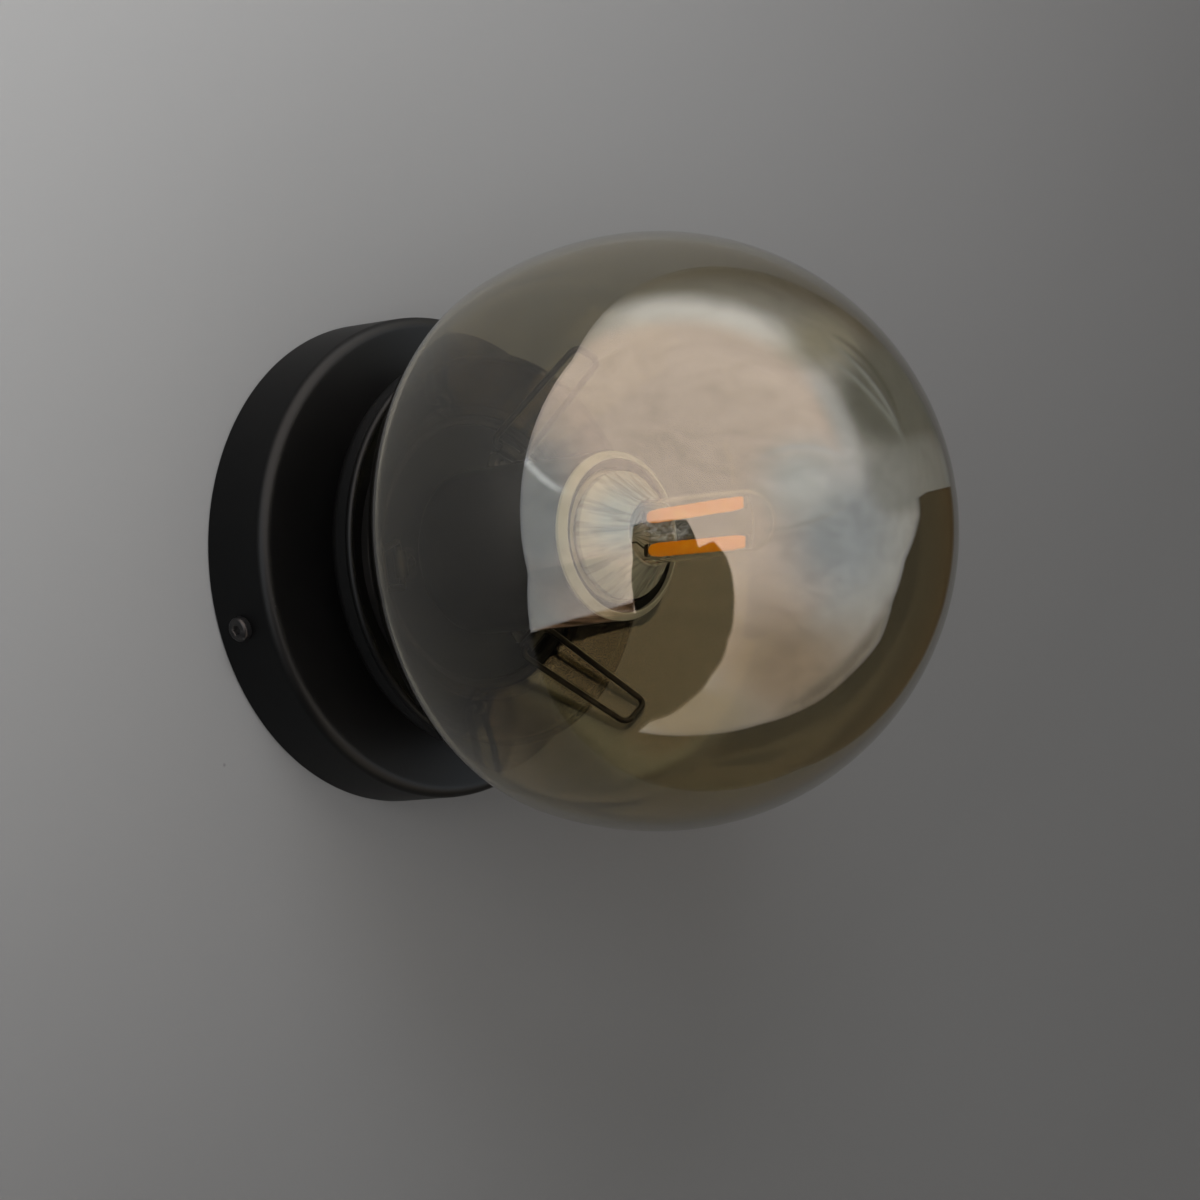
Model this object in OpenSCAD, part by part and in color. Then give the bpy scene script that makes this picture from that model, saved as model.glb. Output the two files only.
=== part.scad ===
// Globe wall sconce with a smoke glass globe held by three spring wire clips.
// The lamp axis stands straight out of the wall: the origin is the centre of the canopy's
// back edge, +Z is up and the lamp points along -Y. Inside the modules a piece is drawn with
// its depth in front of the wall as z, x to the right and y up, and on_axis() turns it.

/* [Canopy] */
// Outer diameter of the wall canopy
canopy_d = 125; // [118:0.5:130]
// How far the canopy stands off the wall
canopy_depth = 21; // [20:0.5:26]
// Outside radius of the canopy's front corner
canopy_corner = 3; // [2:0.5:6]
// Thickness of the pressed steel sheet
sheet = 1; // [0.8:0.1:1.2]
// Distance of the side screws from the wall
side_screw_depth = 9.2; // [8:0.1:11]
// Turn of the bracket and its two side screws about the lamp axis
bracket_turn = 21.7; // [0:0.1:45]

/* [Shade dish and collar] */
// Length of the collar between canopy and dish
collar_len = 11; // [8:0.5:16]
// Outer diameter of that collar
collar_d = 24; // [20:1:32]
// Outer diameter over the dish's rolled rim
dish_d = 104.6; // [102:0.2:110]
// Depth of the dish over all
dish_depth = 10; // [9:0.5:12]
// Outside radius of the dish's back corner
dish_corner = 5; // [3:0.5:6]
// Radius of the rolled rim bead
rim_bead = 1; // [0.8:0.1:1.2]

/* [Glass globe] */
// Diameter of the globe's spherical front
globe_d = 150; // [148:0.5:152]
// Distance from the wall to the centre of that sphere
globe_centre = 99; // [98:0.5:101]
// Thickness of the blown glass
glass_wall = 2; // [1.8:0.1:2.2]
// Radius of the long flat curve just behind the equator
waist_r = 97; // [90:1:105]
// How far behind the equator the shoulder starts
waist_len = 26; // [24:0.5:28]
// Radius of the shoulder
shoulder_r = 25; // [22:0.5:28]
// Slope of the straight back of the glass, from the lamp axis
back_slope = 45; // [44:0.5:46]
// Gap between the glass edge and its gasket
glass_gap = 0.3; // [0.2:0.1:0.5]

/* [Spring clips] */
// Diameter of the spring wire
wire_d = 1.7; // [1.4:0.1:1.8]
// Length of a clip from its pivot to its tip
clip_len = 33.5; // [30:0.5:33.5]
// Half the width between a clip's two legs at the pivot
clip_half_base = 5.9; // [5.4:0.1:6.2]
// Half the width between a clip's two legs at the tip
clip_half_tip = 4.7; // [4.2:0.1:5.2]
// Bend radius at a clip's corners
clip_bend = 2.4; // [2:0.1:2.5]
// Lean of a clip outwards from the lamp axis
clip_lean = 50.4; // [46:0.2:50.4]
// Distance of the pivots from the lamp axis
clip_pivot_rho = 28.8; // [28.4:0.1:28.8]
// Direction of the first clip about the lamp axis
clip_first = -48; // [-60:1:-40]

/* [Lamp cup and lampholder] */
// Outer diameter of the lamp cup
cup_d = 43; // [42:0.5:46]
// Length of the lamp cup
cup_len = 52; // [51:0.5:53]
// Thickness of the cup's sheet
cup_sheet = 1.2; // [1:0.1:1.4]
// Radius of the cup's rounded mouth
cup_mouth_r = 2; // [1.6:0.1:2.2]
// Outer diameter of the porcelain lampholder
holder_d = 34; // [33:0.2:34.2]
// Diameter of the well in the lampholder's face
well_d = 28.6; // [28:0.2:30]

/* [Bulb] */
// Diameter of the glass capsule
capsule_d = 16; // [15:0.5:16.5]
// Distance from the wall to the capsule's tip
capsule_tip = 136; // [135:0.5:140]
// Length of each filament
filament_len = 35; // [30:1:36]
// Lean of the filament pair inside the capsule
filament_lean = 0.5; // [0:0.5:1]

/* [Hidden] */

fine = 96;
small = 32;
arc_steps = 8;

canopy_r = canopy_d / 2;
dish_back = canopy_depth + collar_len;
dish_floor = dish_back + sheet;
dish_front = dish_back + dish_depth;
cup_back = dish_floor;
cup_floor = cup_back + cup_sheet;
cup_front = cup_back + cup_len;
cup_r = cup_d / 2;

nipple_r = 4.95;
nipple_bore = 3.6;
nipple_hole = 5.1;
nut_thick = 3.5;
nut_flats = 14;
washer_thick = 1.1;
tag_thick = 0.8;
strap_thick = 1.2;
canopy_face_inner = canopy_depth - sheet;
canopy_washer_back = canopy_face_inner - washer_thick;
tag_back = canopy_washer_back - tag_thick;
canopy_nut_back = tag_back - nut_thick;
nipple_back = canopy_nut_back - 2.6;
cup_washer_front = cup_floor + washer_thick;
strap_front = cup_washer_front + strap_thick;
cup_nut_front = strap_front + nut_thick;
nipple_front = cup_nut_front + 1.9;

bracket_thick = 1.5;
bracket_half = canopy_r - sheet - 0.6;
bracket_width = 22;
bracket_disc_r = 19;
tab_width = 14;
tab_height = 15;
wall_hole_r = 2.3;
wall_hole_rho = 38;
cable_hole_r = 8;
side_thread_r = 2;
side_hole_r = 2.2;
side_screw_r = 1.95;
side_head_r = 3.2;
side_head_len = 2.4;
earth_rho = 14.1;

block_rho = 36;
block_len = 27;
block_width = 16;
block_top = 14.5;
block_valley = 8.5;
pole_pitch = 9;
pole_depth = 8;
pole_screw_off = 4.2;
tube_len = 12;
tube_r = 2.4;
tube_bore = 1.5;

gasket_thick = 1.4;
gasket_in = 33.4;
gasket_out = 40;
glass_edge = dish_floor + gasket_thick + glass_gap;

wire_r = wire_d / 2;
knuckle_fit = 0.08;
knuckle_r = 1.8;
bend_base = clip_half_base - clip_bend;
bend_tip = clip_half_tip - clip_bend;
clip_far = clip_len - clip_bend;
clip_taper = atan((bend_base - bend_tip) / (clip_far - clip_bend));
knuckle_half = bend_base - 0.2;
bend_into = 0.05;
pivot_depth = dish_floor + 1.9;
leaf_thick = 0.8;
leaf_in = clip_pivot_rho - 6.8;
rivet_rho = clip_pivot_rho - 4.2;
rivet_r = 1.2;

holder_back = 56;
holder_face = cup_front - cup_sheet - 0.2;
well_floor = 70;
pin_pitch = 9;
pin_wire = 0.45;
pin_half = 0.75;
holder_screw_rho = 9.2;
lip_r = 17.4;
ring_in = cup_r - cup_mouth_r;
ring_high = 1.4;
flange_r = 16.3;
flange_back = cup_front + 0.6;
flange_front = cup_front + 2.6;

capsule_wall = 0.8;
collar_seat = well_floor + glass_gap;
collar_top = 97;
capsule_back = 89.2;
filament_start = 94.5;
filament_mid = -0.45;
filament_off = 4.1;
filament_splay = 1.3;
filament_side = 0.4;
filament_width = 3.6;
filament_thick = 0.9;
lead_r = 0.9;

// Points of an arc about (cx, cy), from angle a0 to angle a1
function arc(cx, cy, r, a0, a1, steps = arc_steps) =
    [for (i = [0:steps]) let (a = a0 + (a1 - a0) * i / steps) [cx + r * cos(a), cy + r * sin(a)]];

// A point given in the bracket's turned frame, at a depth in front of the wall
function turned(x, y, depth) =
    [x * cos(bracket_turn) - y * sin(bracket_turn), x * sin(bracket_turn) + y * cos(bracket_turn), depth];

function unit(v) = v / norm(v);

// A smooth curve through the route's own points, with so many steps between neighbours
function smooth(p, steps) = let (n = len(p))
    [for (i = [0:n - 2]) for (k = [0:steps - 1])
        let (a = p[max(i - 1, 0)], b = p[i], c = p[i + 1], d = p[min(i + 2, n - 1)], t = k / steps)
        0.5 * (2 * b + (c - a) * t + (2 * a - 5 * b + 4 * c - d) * t * t
            + (3 * b - a - 3 * c + d) * t * t * t),
     p[n - 1]];

module on_axis() {
    rotate([90, 0, 0]) children();
}

module revolve(outline) {
    rotate_extrude($fn = fine) polygon(outline);
}

// A ring or disc round the lamp axis, from one depth to another
module ring(r_out, r_in, from, to) {
    difference() {
        translate([0, 0, from]) cylinder(r = r_out, h = to - from, $fn = small * 2);
        translate([0, 0, from - 1]) cylinder(r = r_in, h = to - from + 2, $fn = small * 2);
    }
}

// A hexagon nut round the lamp axis with its corners turned off
module hex_nut(flats, bore, from, to) {
    difference() {
        intersection() {
            translate([0, 0, from]) cylinder(d = flats / cos(30), h = to - from, $fn = 6);
            translate([0, 0, from]) cylinder(d = flats * 1.11, h = to - from, $fn = small * 2);
        }
        translate([0, 0, from - 1]) cylinder(r = bore, h = to - from + 2, $fn = small * 2);
    }
}

// A tube swept along a route, as rings of sides joined by triangles
module swept_tube(route, r, sides = 8) {
    n = len(route);
    tangents = [for (i = [0:n - 1]) unit(route[min(i + 1, n - 1)] - route[max(i - 1, 0)])];
    aside = [0.62, 0.78, 0.08];
    rings = [for (i = [0:n - 1])
        let (u = unit(cross(tangents[i], aside)), v = cross(tangents[i], u))
        for (k = [0:sides - 1]) route[i] + r * (cos(360 * k / sides) * u + sin(360 * k / sides) * v)];
    walls = [for (i = [0:n - 2]) for (k = [0:sides - 1])
        let (a = i * sides + k, b = i * sides + (k + 1) % sides)
        each [[a, a + sides, b], [b, a + sides, b + sides]]];
    first_cap = [for (k = [1:sides - 2]) [0, k, k + 1]];
    last = (n - 1) * sides;
    last_cap = [for (k = [1:sides - 2]) [last, last + k + 1, last + k]];
    polyhedron(points = rings, faces = concat(walls, first_cap, last_cap), convexity = 6);
}

// A round bar from one point to another
module bar(from, to, r, sides = small) {
    v = to - from;
    translate(from)
        rotate([0, acos(v[2] / norm(v)), atan2(v[1], v[0])])
        cylinder(r = r, h = norm(v), $fn = sides);
}

// Folded steel strip: wall holes, cable hole, earth hole, an arm for the terminal block
// and two bent tabs with extruded threads for the side screws
module wall_bracket() {
    color("lightsteelblue") on_axis() rotate([0, 0, bracket_turn]) difference() {
        union() {
            linear_extrude(bracket_thick) difference() {
                union() {
                    translate([-bracket_half, -tab_width / 2]) square([2 * bracket_half, tab_width]);
                    translate([-46, -bracket_width / 2]) square([92, bracket_width]);
                    circle(r = bracket_disc_r, $fn = small * 2);
                    translate([-9, -block_rho - block_width / 2])
                        square([18, block_rho + block_width / 2]);
                }
                circle(r = cable_hole_r, $fn = small * 2);
                for (side = [-1, 1]) {
                    translate([side * wall_hole_rho, 0]) circle(r = wall_hole_r, $fn = small);
                    wall_slot(side);
                    translate([side * pole_pitch / 2, -block_rho]) circle(r = 1.3, $fn = small);
                }
                translate([0, earth_rho]) circle(r = side_thread_r, $fn = small);
            }
            for (side = [-1, 1]) side_tab(side);
        }
        for (side = [-1, 1])
            translate([side * (bracket_half - 4), 0, side_screw_depth])
                rotate([0, side * 90, 0]) cylinder(r = side_thread_r, h = 6, $fn = small);
    }
}

// Straight slot beside the cable hole, for wall boxes of other pitches
module wall_slot(side) {
    for (x = [24, 31]) translate([side * x, 0]) circle(r = wall_hole_r, $fn = small);
    translate([side * 27.5 - 3.5, -wall_hole_r]) square([7, 2 * wall_hole_r]);
}

module side_tab(side) {
    inner = bracket_half - bracket_thick;
    translate([side > 0 ? inner : -bracket_half, 0, 0]) rotate([90, 0, 90])
        linear_extrude(bracket_thick) union() {
            translate([-tab_width / 2, 0]) square([tab_width, tab_height - tab_width / 2 + 3]);
            intersection() {
                translate([0, tab_height - 7]) circle(r = 7, $fn = small * 2);
                translate([-7, 0]) square([14, tab_height]);
            }
        }
    translate([side * inner, 0, side_screw_depth]) rotate([0, -side * 90, 0])
        cylinder(r = 3.3, h = 1.8, $fn = small);
}

// Snap bush for the supply cable
module cable_grommet() {
    color("dimgray") on_axis() revolve([[4.5, 0], [7.9, 0], [7.9, bracket_thick],
        [10, bracket_thick], [10, 2.4], [9.4, 3], [7.6, 3.2], [7, 4.6], [4.5, 4.6]]);
}

module earth_screw() {
    color("goldenrod") on_axis() rotate([0, 0, bracket_turn]) translate([0, earth_rho, 0])
        difference() {
            union() {
                translate([0, 0, 0.1]) cylinder(r = side_screw_r, h = 3, $fn = small);
                translate([0, 0, 2.6]) intersection() {
                    cylinder(r = 3.5, h = 2.6, $fn = small * 2);
                    translate([0, 0, -4.6]) sphere(r = 7.2, $fn = small * 2);
                }
            }
            translate([-4, -0.5, 4.2]) cube([8, 1, 2]);
        }
}

module earth_washer() {
    color("goldenrod") on_axis() rotate([0, 0, bracket_turn]) translate([0, earth_rho, 0])
        difference() {
            translate([-3.7, -3.7, bracket_thick]) cube([7.4, 7.4, 1.1]);
            cylinder(r = side_hole_r, h = 6, $fn = small);
        }
}

// Nylon block of three poles: each has a bore for its brass tube and two screw wells
module terminal_block() {
    color("ivory") on_axis() rotate([0, 0, bracket_turn]) translate([0, -block_rho, 0])
        difference() {
            union() {
                translate([-block_len / 2, -block_width / 2, bracket_thick])
                    cube([block_len, block_width, block_valley - bracket_thick]);
                for (pole = [-1:1]) translate([pole * pole_pitch - 3.4, 0, 0]) rotate([90, 0, 90])
                    linear_extrude(6.8) polygon([[-block_width / 2, block_valley - 1],
                        [block_width / 2, block_valley - 1], [block_width / 2, 10.5],
                        [6.6, block_top], [2.1, block_top], [1.4, 12.6], [-1.4, 12.6],
                        [-2.1, block_top], [-6.6, block_top], [-block_width / 2, 10.5]]);
            }
            for (pole = [-1:1]) {
                translate([pole * pole_pitch, block_width, pole_depth]) rotate([90, 0, 0])
                    cylinder(r = tube_r + 0.05, h = 2 * block_width, $fn = small);
                for (end = [-1, 1])
                    translate([pole * pole_pitch, end * pole_screw_off, pole_depth])
                        cylinder(r = 1.95, h = 10, $fn = small);
            }
            for (side = [-1, 1]) translate([side * pole_pitch / 2, 0, 0]) {
                cylinder(r = 1.4, h = 20, $fn = small);
                translate([0, 0, 6.4]) cylinder(r = 2.1, h = 10, $fn = small);
            }
        }
}

module terminal_tubes() {
    color("darkgoldenrod") on_axis() rotate([0, 0, bracket_turn]) translate([0, -block_rho, 0])
        for (pole = [-1:1]) translate([pole * pole_pitch, 0, pole_depth]) difference() {
            rotate([90, 0, 0]) cylinder(r = tube_r, h = tube_len, center = true, $fn = small);
            rotate([90, 0, 0]) cylinder(r = tube_bore, h = tube_len + 2, center = true, $fn = small);
            for (end = [-1, 1]) translate([0, end * pole_screw_off, 0])
                cylinder(r = 1.25, h = 4, $fn = small);
        }
}

module terminal_screws() {
    color("silver") on_axis() rotate([0, 0, bracket_turn]) translate([0, -block_rho, 0])
        for (pole = [-1:1]) for (end = [-1, 1])
            translate([pole * pole_pitch, end * pole_screw_off, 0]) difference() {
                union() {
                    translate([0, 0, pole_depth + 1]) cylinder(r = 1.2, h = 3.6, $fn = small);
                    translate([0, 0, pole_depth + 3]) cylinder(r = 1.7, h = 2.4, $fn = small);
                }
                translate([-2, -0.3, pole_depth + 4.5]) cube([4, 0.6, 2]);
            }
}

module block_screws() {
    color("silver") on_axis() rotate([0, 0, bracket_turn]) translate([0, -block_rho, 0])
        for (side = [-1, 1]) translate([side * pole_pitch / 2, 0, 0]) difference() {
            union() {
                translate([0, 0, 0.1]) cylinder(r = 1.25, h = 7, $fn = small);
                translate([0, 0, 6.4]) cylinder(r = 2, h = 1.6, $fn = small);
            }
            translate([-3, -0.35, 7.2]) cube([6, 0.7, 2]);
        }
}

// Pressed shell, open at the wall, with a hole for the nipple and two for the side screws
module canopy() {
    r = canopy_r;
    c = canopy_corner;
    color([0.07, 0.07, 0.07]) on_axis() difference() {
        revolve(concat([[r, 0]], arc(r - c, canopy_depth - c, c, 0, 90),
            [[nipple_hole, canopy_depth], [nipple_hole, canopy_face_inner]],
            arc(r - c, canopy_depth - c, c - sheet, 90, 0), [[r - sheet, 0]]));
        rotate([0, 0, bracket_turn]) for (side = [-1, 1])
            translate([side * (r - 5), 0, side_screw_depth]) rotate([0, side * 90, 0])
                cylinder(r = side_hole_r, h = 8, $fn = small);
    }
}

// Black button-head screws through the canopy's side into the bracket's tabs
module side_screws() {
    color([0.05, 0.05, 0.05]) on_axis() rotate([0, 0, bracket_turn]) for (side = [-1, 1])
        translate([side * canopy_r, 0, side_screw_depth]) rotate([0, side * 90, 0]) difference() {
            union() {
                translate([0, 0, -6.5]) cylinder(r = side_screw_r, h = 7, $fn = small);
                rotate_extrude($fn = small * 2) polygon(concat([[0, 0.05], [side_head_r, 0.05]],
                    arc(side_head_r - 1, side_head_len - 1, 1, 0, 90, 5), [[0, side_head_len]]));
            }
            translate([0, 0, 1]) cylinder(d = 2.5 / cos(30), h = 3, $fn = 6);
        }
}

module canopy_nut() {
    color("silver") on_axis() hex_nut(nut_flats, nipple_hole - 0.1, canopy_nut_back, tag_back);
}

// Washer with ten teeth, between the canopy's front wall and the earth tag
module canopy_washer() {
    color("silver") on_axis() difference() {
        union() {
            ring(8.6, nipple_hole, canopy_washer_back, canopy_face_inner);
            for (k = [0:9]) rotate([0, 0, 36 * k])
                translate([8, -1, canopy_washer_back]) cube([1.9, 2, washer_thick]);
        }
        translate([0, 0, 10]) cylinder(r = nipple_hole, h = 20, $fn = small * 2);
    }
}

// Ring tag with a crimp barrel for the earth lead
module earth_tag() {
    barrel_depth = tag_back + 0.3;
    color("silver") on_axis() rotate([0, 0, bracket_turn]) difference() {
        union() {
            translate([0, 0, tag_back]) cylinder(r = 7.4, h = tag_thick, $fn = small * 2);
            translate([-1.6, -12, tag_back]) cube([3.2, 8, tag_thick]);
            translate([0, -11, barrel_depth]) rotate([90, 0, 0]) cylinder(r = 1.3, h = 5, $fn = small);
        }
        translate([0, 0, 10]) cylinder(r = nipple_hole, h = 20, $fn = small * 2);
    }
}

// Hollow threaded rod that clamps canopy, collar, dish and cup and carries the leads
module nipple() {
    color("goldenrod") on_axis() revolve([[nipple_bore, nipple_back], [nipple_r - 0.5, nipple_back],
        [nipple_r, nipple_back + 0.5], [nipple_r, nipple_front - 0.5],
        [nipple_r - 0.5, nipple_front], [nipple_bore, nipple_front]]);
}

module spacer_collar() {
    r = collar_d / 2;
    color([0.06, 0.06, 0.06]) on_axis() revolve([[nipple_hole, canopy_depth],
        [r - 0.4, canopy_depth], [r, canopy_depth + 0.4], [r, dish_back - 0.4],
        [r - 0.4, dish_back], [nipple_hole, dish_back]]);
}

// Shallow pressed pan with a rolled rim, drilled for the nipple and the three rivets
module shade_dish() {
    bead_r = dish_d / 2 - rim_bead;
    wall = bead_r + sheet / 2;
    color([0.06, 0.06, 0.06]) on_axis() difference() {
        revolve(concat([[nipple_hole, dish_back]],
            arc(wall - dish_corner, dish_back + dish_corner, dish_corner, -90, 0),
            arc(bead_r, dish_front - rim_bead, rim_bead, -60, 240, 14),
            arc(wall - dish_corner, dish_back + dish_corner, dish_corner - sheet, 0, -90),
            [[nipple_hole, dish_floor]]));
        for (k = [0:2]) rotate([0, 0, clip_first + 120 * k]) translate([rivet_rho, 0, 0])
            cylinder(r = rivet_r + 0.05, h = 60, $fn = small);
    }
}

// Silicone ring under the edge of the glass, with a small outer lip
module glass_gasket() {
    color([0.1, 0.1, 0.1]) on_axis() revolve([[gasket_in, dish_floor], [gasket_out, dish_floor],
        [gasket_out, dish_floor + 2.4], [gasket_out - 0.4, dish_floor + 2.6],
        [gasket_out - 0.8, dish_floor + 2.4], [gasket_out - 0.9, dish_floor + gasket_thick],
        [gasket_in, dish_floor + gasket_thick]]);
}

// Deep-drawn tube with a floor, rounded at both ends, its mouth turned in to a lip
module lamp_cup() {
    c = cup_mouth_r;
    inner = c - cup_sheet;
    color([0.05, 0.05, 0.05]) on_axis() revolve(concat([[nipple_hole, cup_back]],
        arc(cup_r - c, cup_back + c, c, -90, 0), arc(cup_r - c, cup_front - c, c, 0, 90),
        [[lip_r, cup_front], [lip_r, cup_front - cup_sheet]],
        arc(cup_r - c, cup_front - c, inner, 90, 0), arc(cup_r - c, cup_back + c, inner, 0, -90),
        [[nipple_hole, cup_floor]]));
}

// White ring pressed over the cup's rounded mouth, with a wide bevel outside
module mouth_ring() {
    color("white") on_axis() revolve(concat([[ring_in, cup_front + ring_high - 0.2]],
        arc(ring_in, cup_front - cup_mouth_r, cup_mouth_r + 0.05, 90, 30, 6),
        [[cup_r, cup_front - 0.97], [cup_r, cup_front - 0.3], [cup_r - 0.12, cup_front - 0.02],
         [ring_in + 0.45, cup_front + ring_high - 0.06], [ring_in + 0.2, cup_front + ring_high]]));
}

module cup_washer() {
    color("silver") on_axis() ring(9, nipple_hole, cup_floor, cup_washer_front);
}

module cup_nut() {
    color("silver") on_axis() hex_nut(nut_flats, nipple_hole - 0.1, strap_front, cup_nut_front);
}

// U-shaped strap on the nipple, with two inward tabs that the lampholder is screwed to
module lampholder_strap() {
    half = 13.2;
    color("lightsteelblue") on_axis() difference() {
        for (side = [0, 180]) rotate([0, 0, side]) {
            translate([-5, -1, cup_washer_front]) cube([10, half + 1, strap_thick]);
            translate([0, 0, cup_washer_front]) cylinder(r = 8.2, h = strap_thick, $fn = small * 2);
            translate([-5, half - strap_thick, cup_washer_front])
                cube([10, strap_thick, holder_back - cup_washer_front]);
            translate([-5, half - 7, holder_back - strap_thick]) cube([10, 7, strap_thick]);
        }
        cylinder(r = nipple_hole, h = 60, $fn = small * 2);
        for (side = [-1, 1]) translate([0, side * holder_screw_rho, 0])
            cylinder(r = 1.3, h = 80, $fn = small);
    }
}

// Glazed porcelain body: a tapered well in its face, two pin slots that widen into contact
// pockets at the back, and two counterbored screw holes
module lampholder() {
    r = holder_d / 2;
    w = well_d / 2;
    color("white") on_axis() difference() {
        revolve(concat([[0, holder_back], [r - 1, holder_back], [r, holder_back + 1]],
            arc(r - 1, holder_face - 1, 1, 0, 90, 5),
            arc(w + 0.8, holder_face - 0.8, 0.8, 90, 180, 5),
            arc(w - 2.4, well_floor + 1, 1, 0, -90, 4), [[0, well_floor]]));
        for (side = [-1, 1]) {
            translate([side * pin_pitch / 2 - 1.5, -0.8, holder_back - 1]) cube([3, 1.6, 30]);
            translate([side * pin_pitch / 2 - 2, -1.6, holder_back - 1]) cube([4, 3.2, 11]);
            translate([0, side * holder_screw_rho, holder_back - 1])
                cylinder(r = 1.6, h = 30, $fn = small);
            translate([0, side * holder_screw_rho, well_floor - 3])
                cylinder(r = 3.0, h = 10, $fn = small);
        }
    }
}

module lampholder_screws() {
    color("silver") on_axis() for (side = [-1, 1])
        translate([0, side * holder_screw_rho, 0]) difference() {
            union() {
                translate([0, 0, holder_back - 4]) cylinder(r = 1.25, h = 15.2, $fn = small);
                translate([0, 0, well_floor - 3]) cylinder(r = 2.7, h = 2.2, $fn = small);
            }
            translate([-0.4, -4, well_floor - 1.7]) cube([0.8, 8, 2]);
        }
}

// Two spring contacts, each a strip folded round a pin slot
module pin_contacts() {
    color("darkgoldenrod") on_axis() for (side = [-1, 1])
        translate([side * pin_pitch / 2 - 1.6, 0, holder_back + 0.4]) {
            translate([0, -1.35, 0]) cube([3.2, 2.7, 0.6]);
            for (leaf = [-1, 1]) translate([0, leaf * 1.1 - 0.25, 0]) cube([3.2, 0.5, 8.6]);
        }
}

// Depth at which the leads turn towards the terminal block, and how far they reach into it
lead_turn_depth = 8.6;
lead_end_rho = block_rho - 1.6;
lead_off = 1.3;

// Route of the live or neutral lead: contact, nipple, canopy, outer pole of the block
function lead_route(side) = smooth([
    [side * 4.5, 0, holder_back + 0.3], [side * 4.5, 0, holder_back - 3],
    [side * 3.6, 0, holder_back - 8], [side * lead_off, 0, nipple_front + 1],
    [side * lead_off, 0, nipple_front - 6], [side * lead_off, 0, nipple_back + 9],
    [side * lead_off, 0, nipple_back + 1.5], turned(side * 1.6, -2.2, nipple_back - 2.2),
    turned(side * 3.6, -8, lead_turn_depth), turned(side * 7.6, -18, pole_depth + 0.2),
    turned(side * pole_pitch, -block_rho + 11, pole_depth),
    turned(side * pole_pitch, -block_rho + 7, pole_depth),
    turned(side * pole_pitch, -lead_end_rho, pole_depth)], 3);

module live_lead() {
    color("saddlebrown") on_axis() swept_tube(lead_route(-1), lead_r);
}

module neutral_lead() {
    color("royalblue") on_axis() swept_tube(lead_route(1), lead_r);
}

// Route of the earth lead: crimp barrel, back in a bend, middle pole of the block
module earth_lead() {
    barrel_depth = tag_back + 0.3;
    color("yellowgreen") on_axis() swept_tube(smooth([turned(0, -16.1, barrel_depth),
        turned(0, -18.2, barrel_depth), turned(0, -21.6, barrel_depth - 1.6),
        turned(0, -23.4, barrel_depth - 5), turned(0, -25, pole_depth + 0.8),
        turned(0, -block_rho + 7.4, pole_depth), turned(0, -lead_end_rho, pole_depth)], 3), lead_r);
}

// A riveted leaf whose outer edge is rolled into a knuckle for the ends of one wire clip
module clip_leaf(turn) {
    color([0.12, 0.12, 0.12]) on_axis() rotate([0, 0, turn]) difference() {
        union() {
            translate([0, 0, dish_floor]) linear_extrude(leaf_thick) polygon([[leaf_in + 1.5, -4],
                [leaf_in + 4.4, -4], [leaf_in + 5.2, -knuckle_half], [clip_pivot_rho, -knuckle_half],
                [clip_pivot_rho, knuckle_half], [leaf_in + 5.2, knuckle_half], [leaf_in + 4.4, 4],
                [leaf_in + 1.5, 4], [leaf_in, 2.5], [leaf_in, -2.5]]);
            translate([clip_pivot_rho, -knuckle_half, pivot_depth]) rotate([-90, 0, 0])
                cylinder(r = knuckle_r, h = 2 * knuckle_half, $fn = small);
        }
        translate([clip_pivot_rho, -10, pivot_depth]) rotate([-90, 0, 0])
            cylinder(r = wire_r + knuckle_fit, h = 20, $fn = small);
        translate([rivet_rho, 0, 0]) cylinder(r = rivet_r + 0.05, h = 60, $fn = small);
    }
}

module clip_leaf_a() { clip_leaf(clip_first); }
module clip_leaf_b() { clip_leaf(clip_first + 120); }
module clip_leaf_c() { clip_leaf(clip_first + 240); }

module clip_rivets() {
    color("silver") on_axis() for (k = [0:2]) rotate([0, 0, clip_first + 120 * k])
        translate([rivet_rho, 0, 0]) {
            translate([0, 0, dish_back - 0.7]) cylinder(r = 2, h = 0.7, $fn = small);
            translate([0, 0, dish_back - 0.7]) cylinder(r = rivet_r, h = 3.4, $fn = small);
            translate([0, 0, dish_floor + leaf_thick]) intersection() {
                cylinder(r = 2.1, h = 1, $fn = small);
                translate([0, 0, -2.1]) sphere(r = 3, $fn = small);
            }
        }
}

// A bend of the wire about a centre, from an angle through a sweep, a hair thicker than the
// straights so that they end inside it
module wire_bend(x, y, start, sweep) {
    translate([x, y, 0]) rotate([0, 0, start])
        rotate_extrude(angle = sweep, $fn = small)
            translate([clip_bend, 0]) circle(r = wire_r + 0.01, $fn = small);
}

// One half of a wire clip, drawn flat: the leg runs along x, its end turns in to the knuckle at x = 0
module half_clip() {
    off = clip_bend * [sin(clip_taper), cos(clip_taper), 0];
    into = bend_into * [cos(clip_taper), -sin(clip_taper), 0];
    bar([0, 0.4, 0], [0, bend_base + bend_into, 0], wire_r);
    wire_bend(clip_bend, bend_base, 90 - clip_taper, 90 + clip_taper);
    bar([clip_bend, bend_base, 0] + off - into, [clip_far, bend_tip, 0] + off + into, wire_r);
    wire_bend(clip_far, bend_tip, 0, 90 - clip_taper);
}

module clip_wire(turn) {
    color([0.1, 0.1, 0.1]) on_axis() rotate([0, 0, turn])
        translate([clip_pivot_rho, 0, pivot_depth]) rotate([0, clip_lean - 90, 0]) {
            half_clip();
            mirror([0, 1, 0]) half_clip();
            bar([clip_len, -bend_tip - bend_into, 0], [clip_len, bend_tip + bend_into, 0], wire_r);
        }
}

module clip_wire_a() { clip_wire(clip_first); }
module clip_wire_b() { clip_wire(clip_first + 120); }
module clip_wire_c() { clip_wire(clip_first + 240); }

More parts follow.
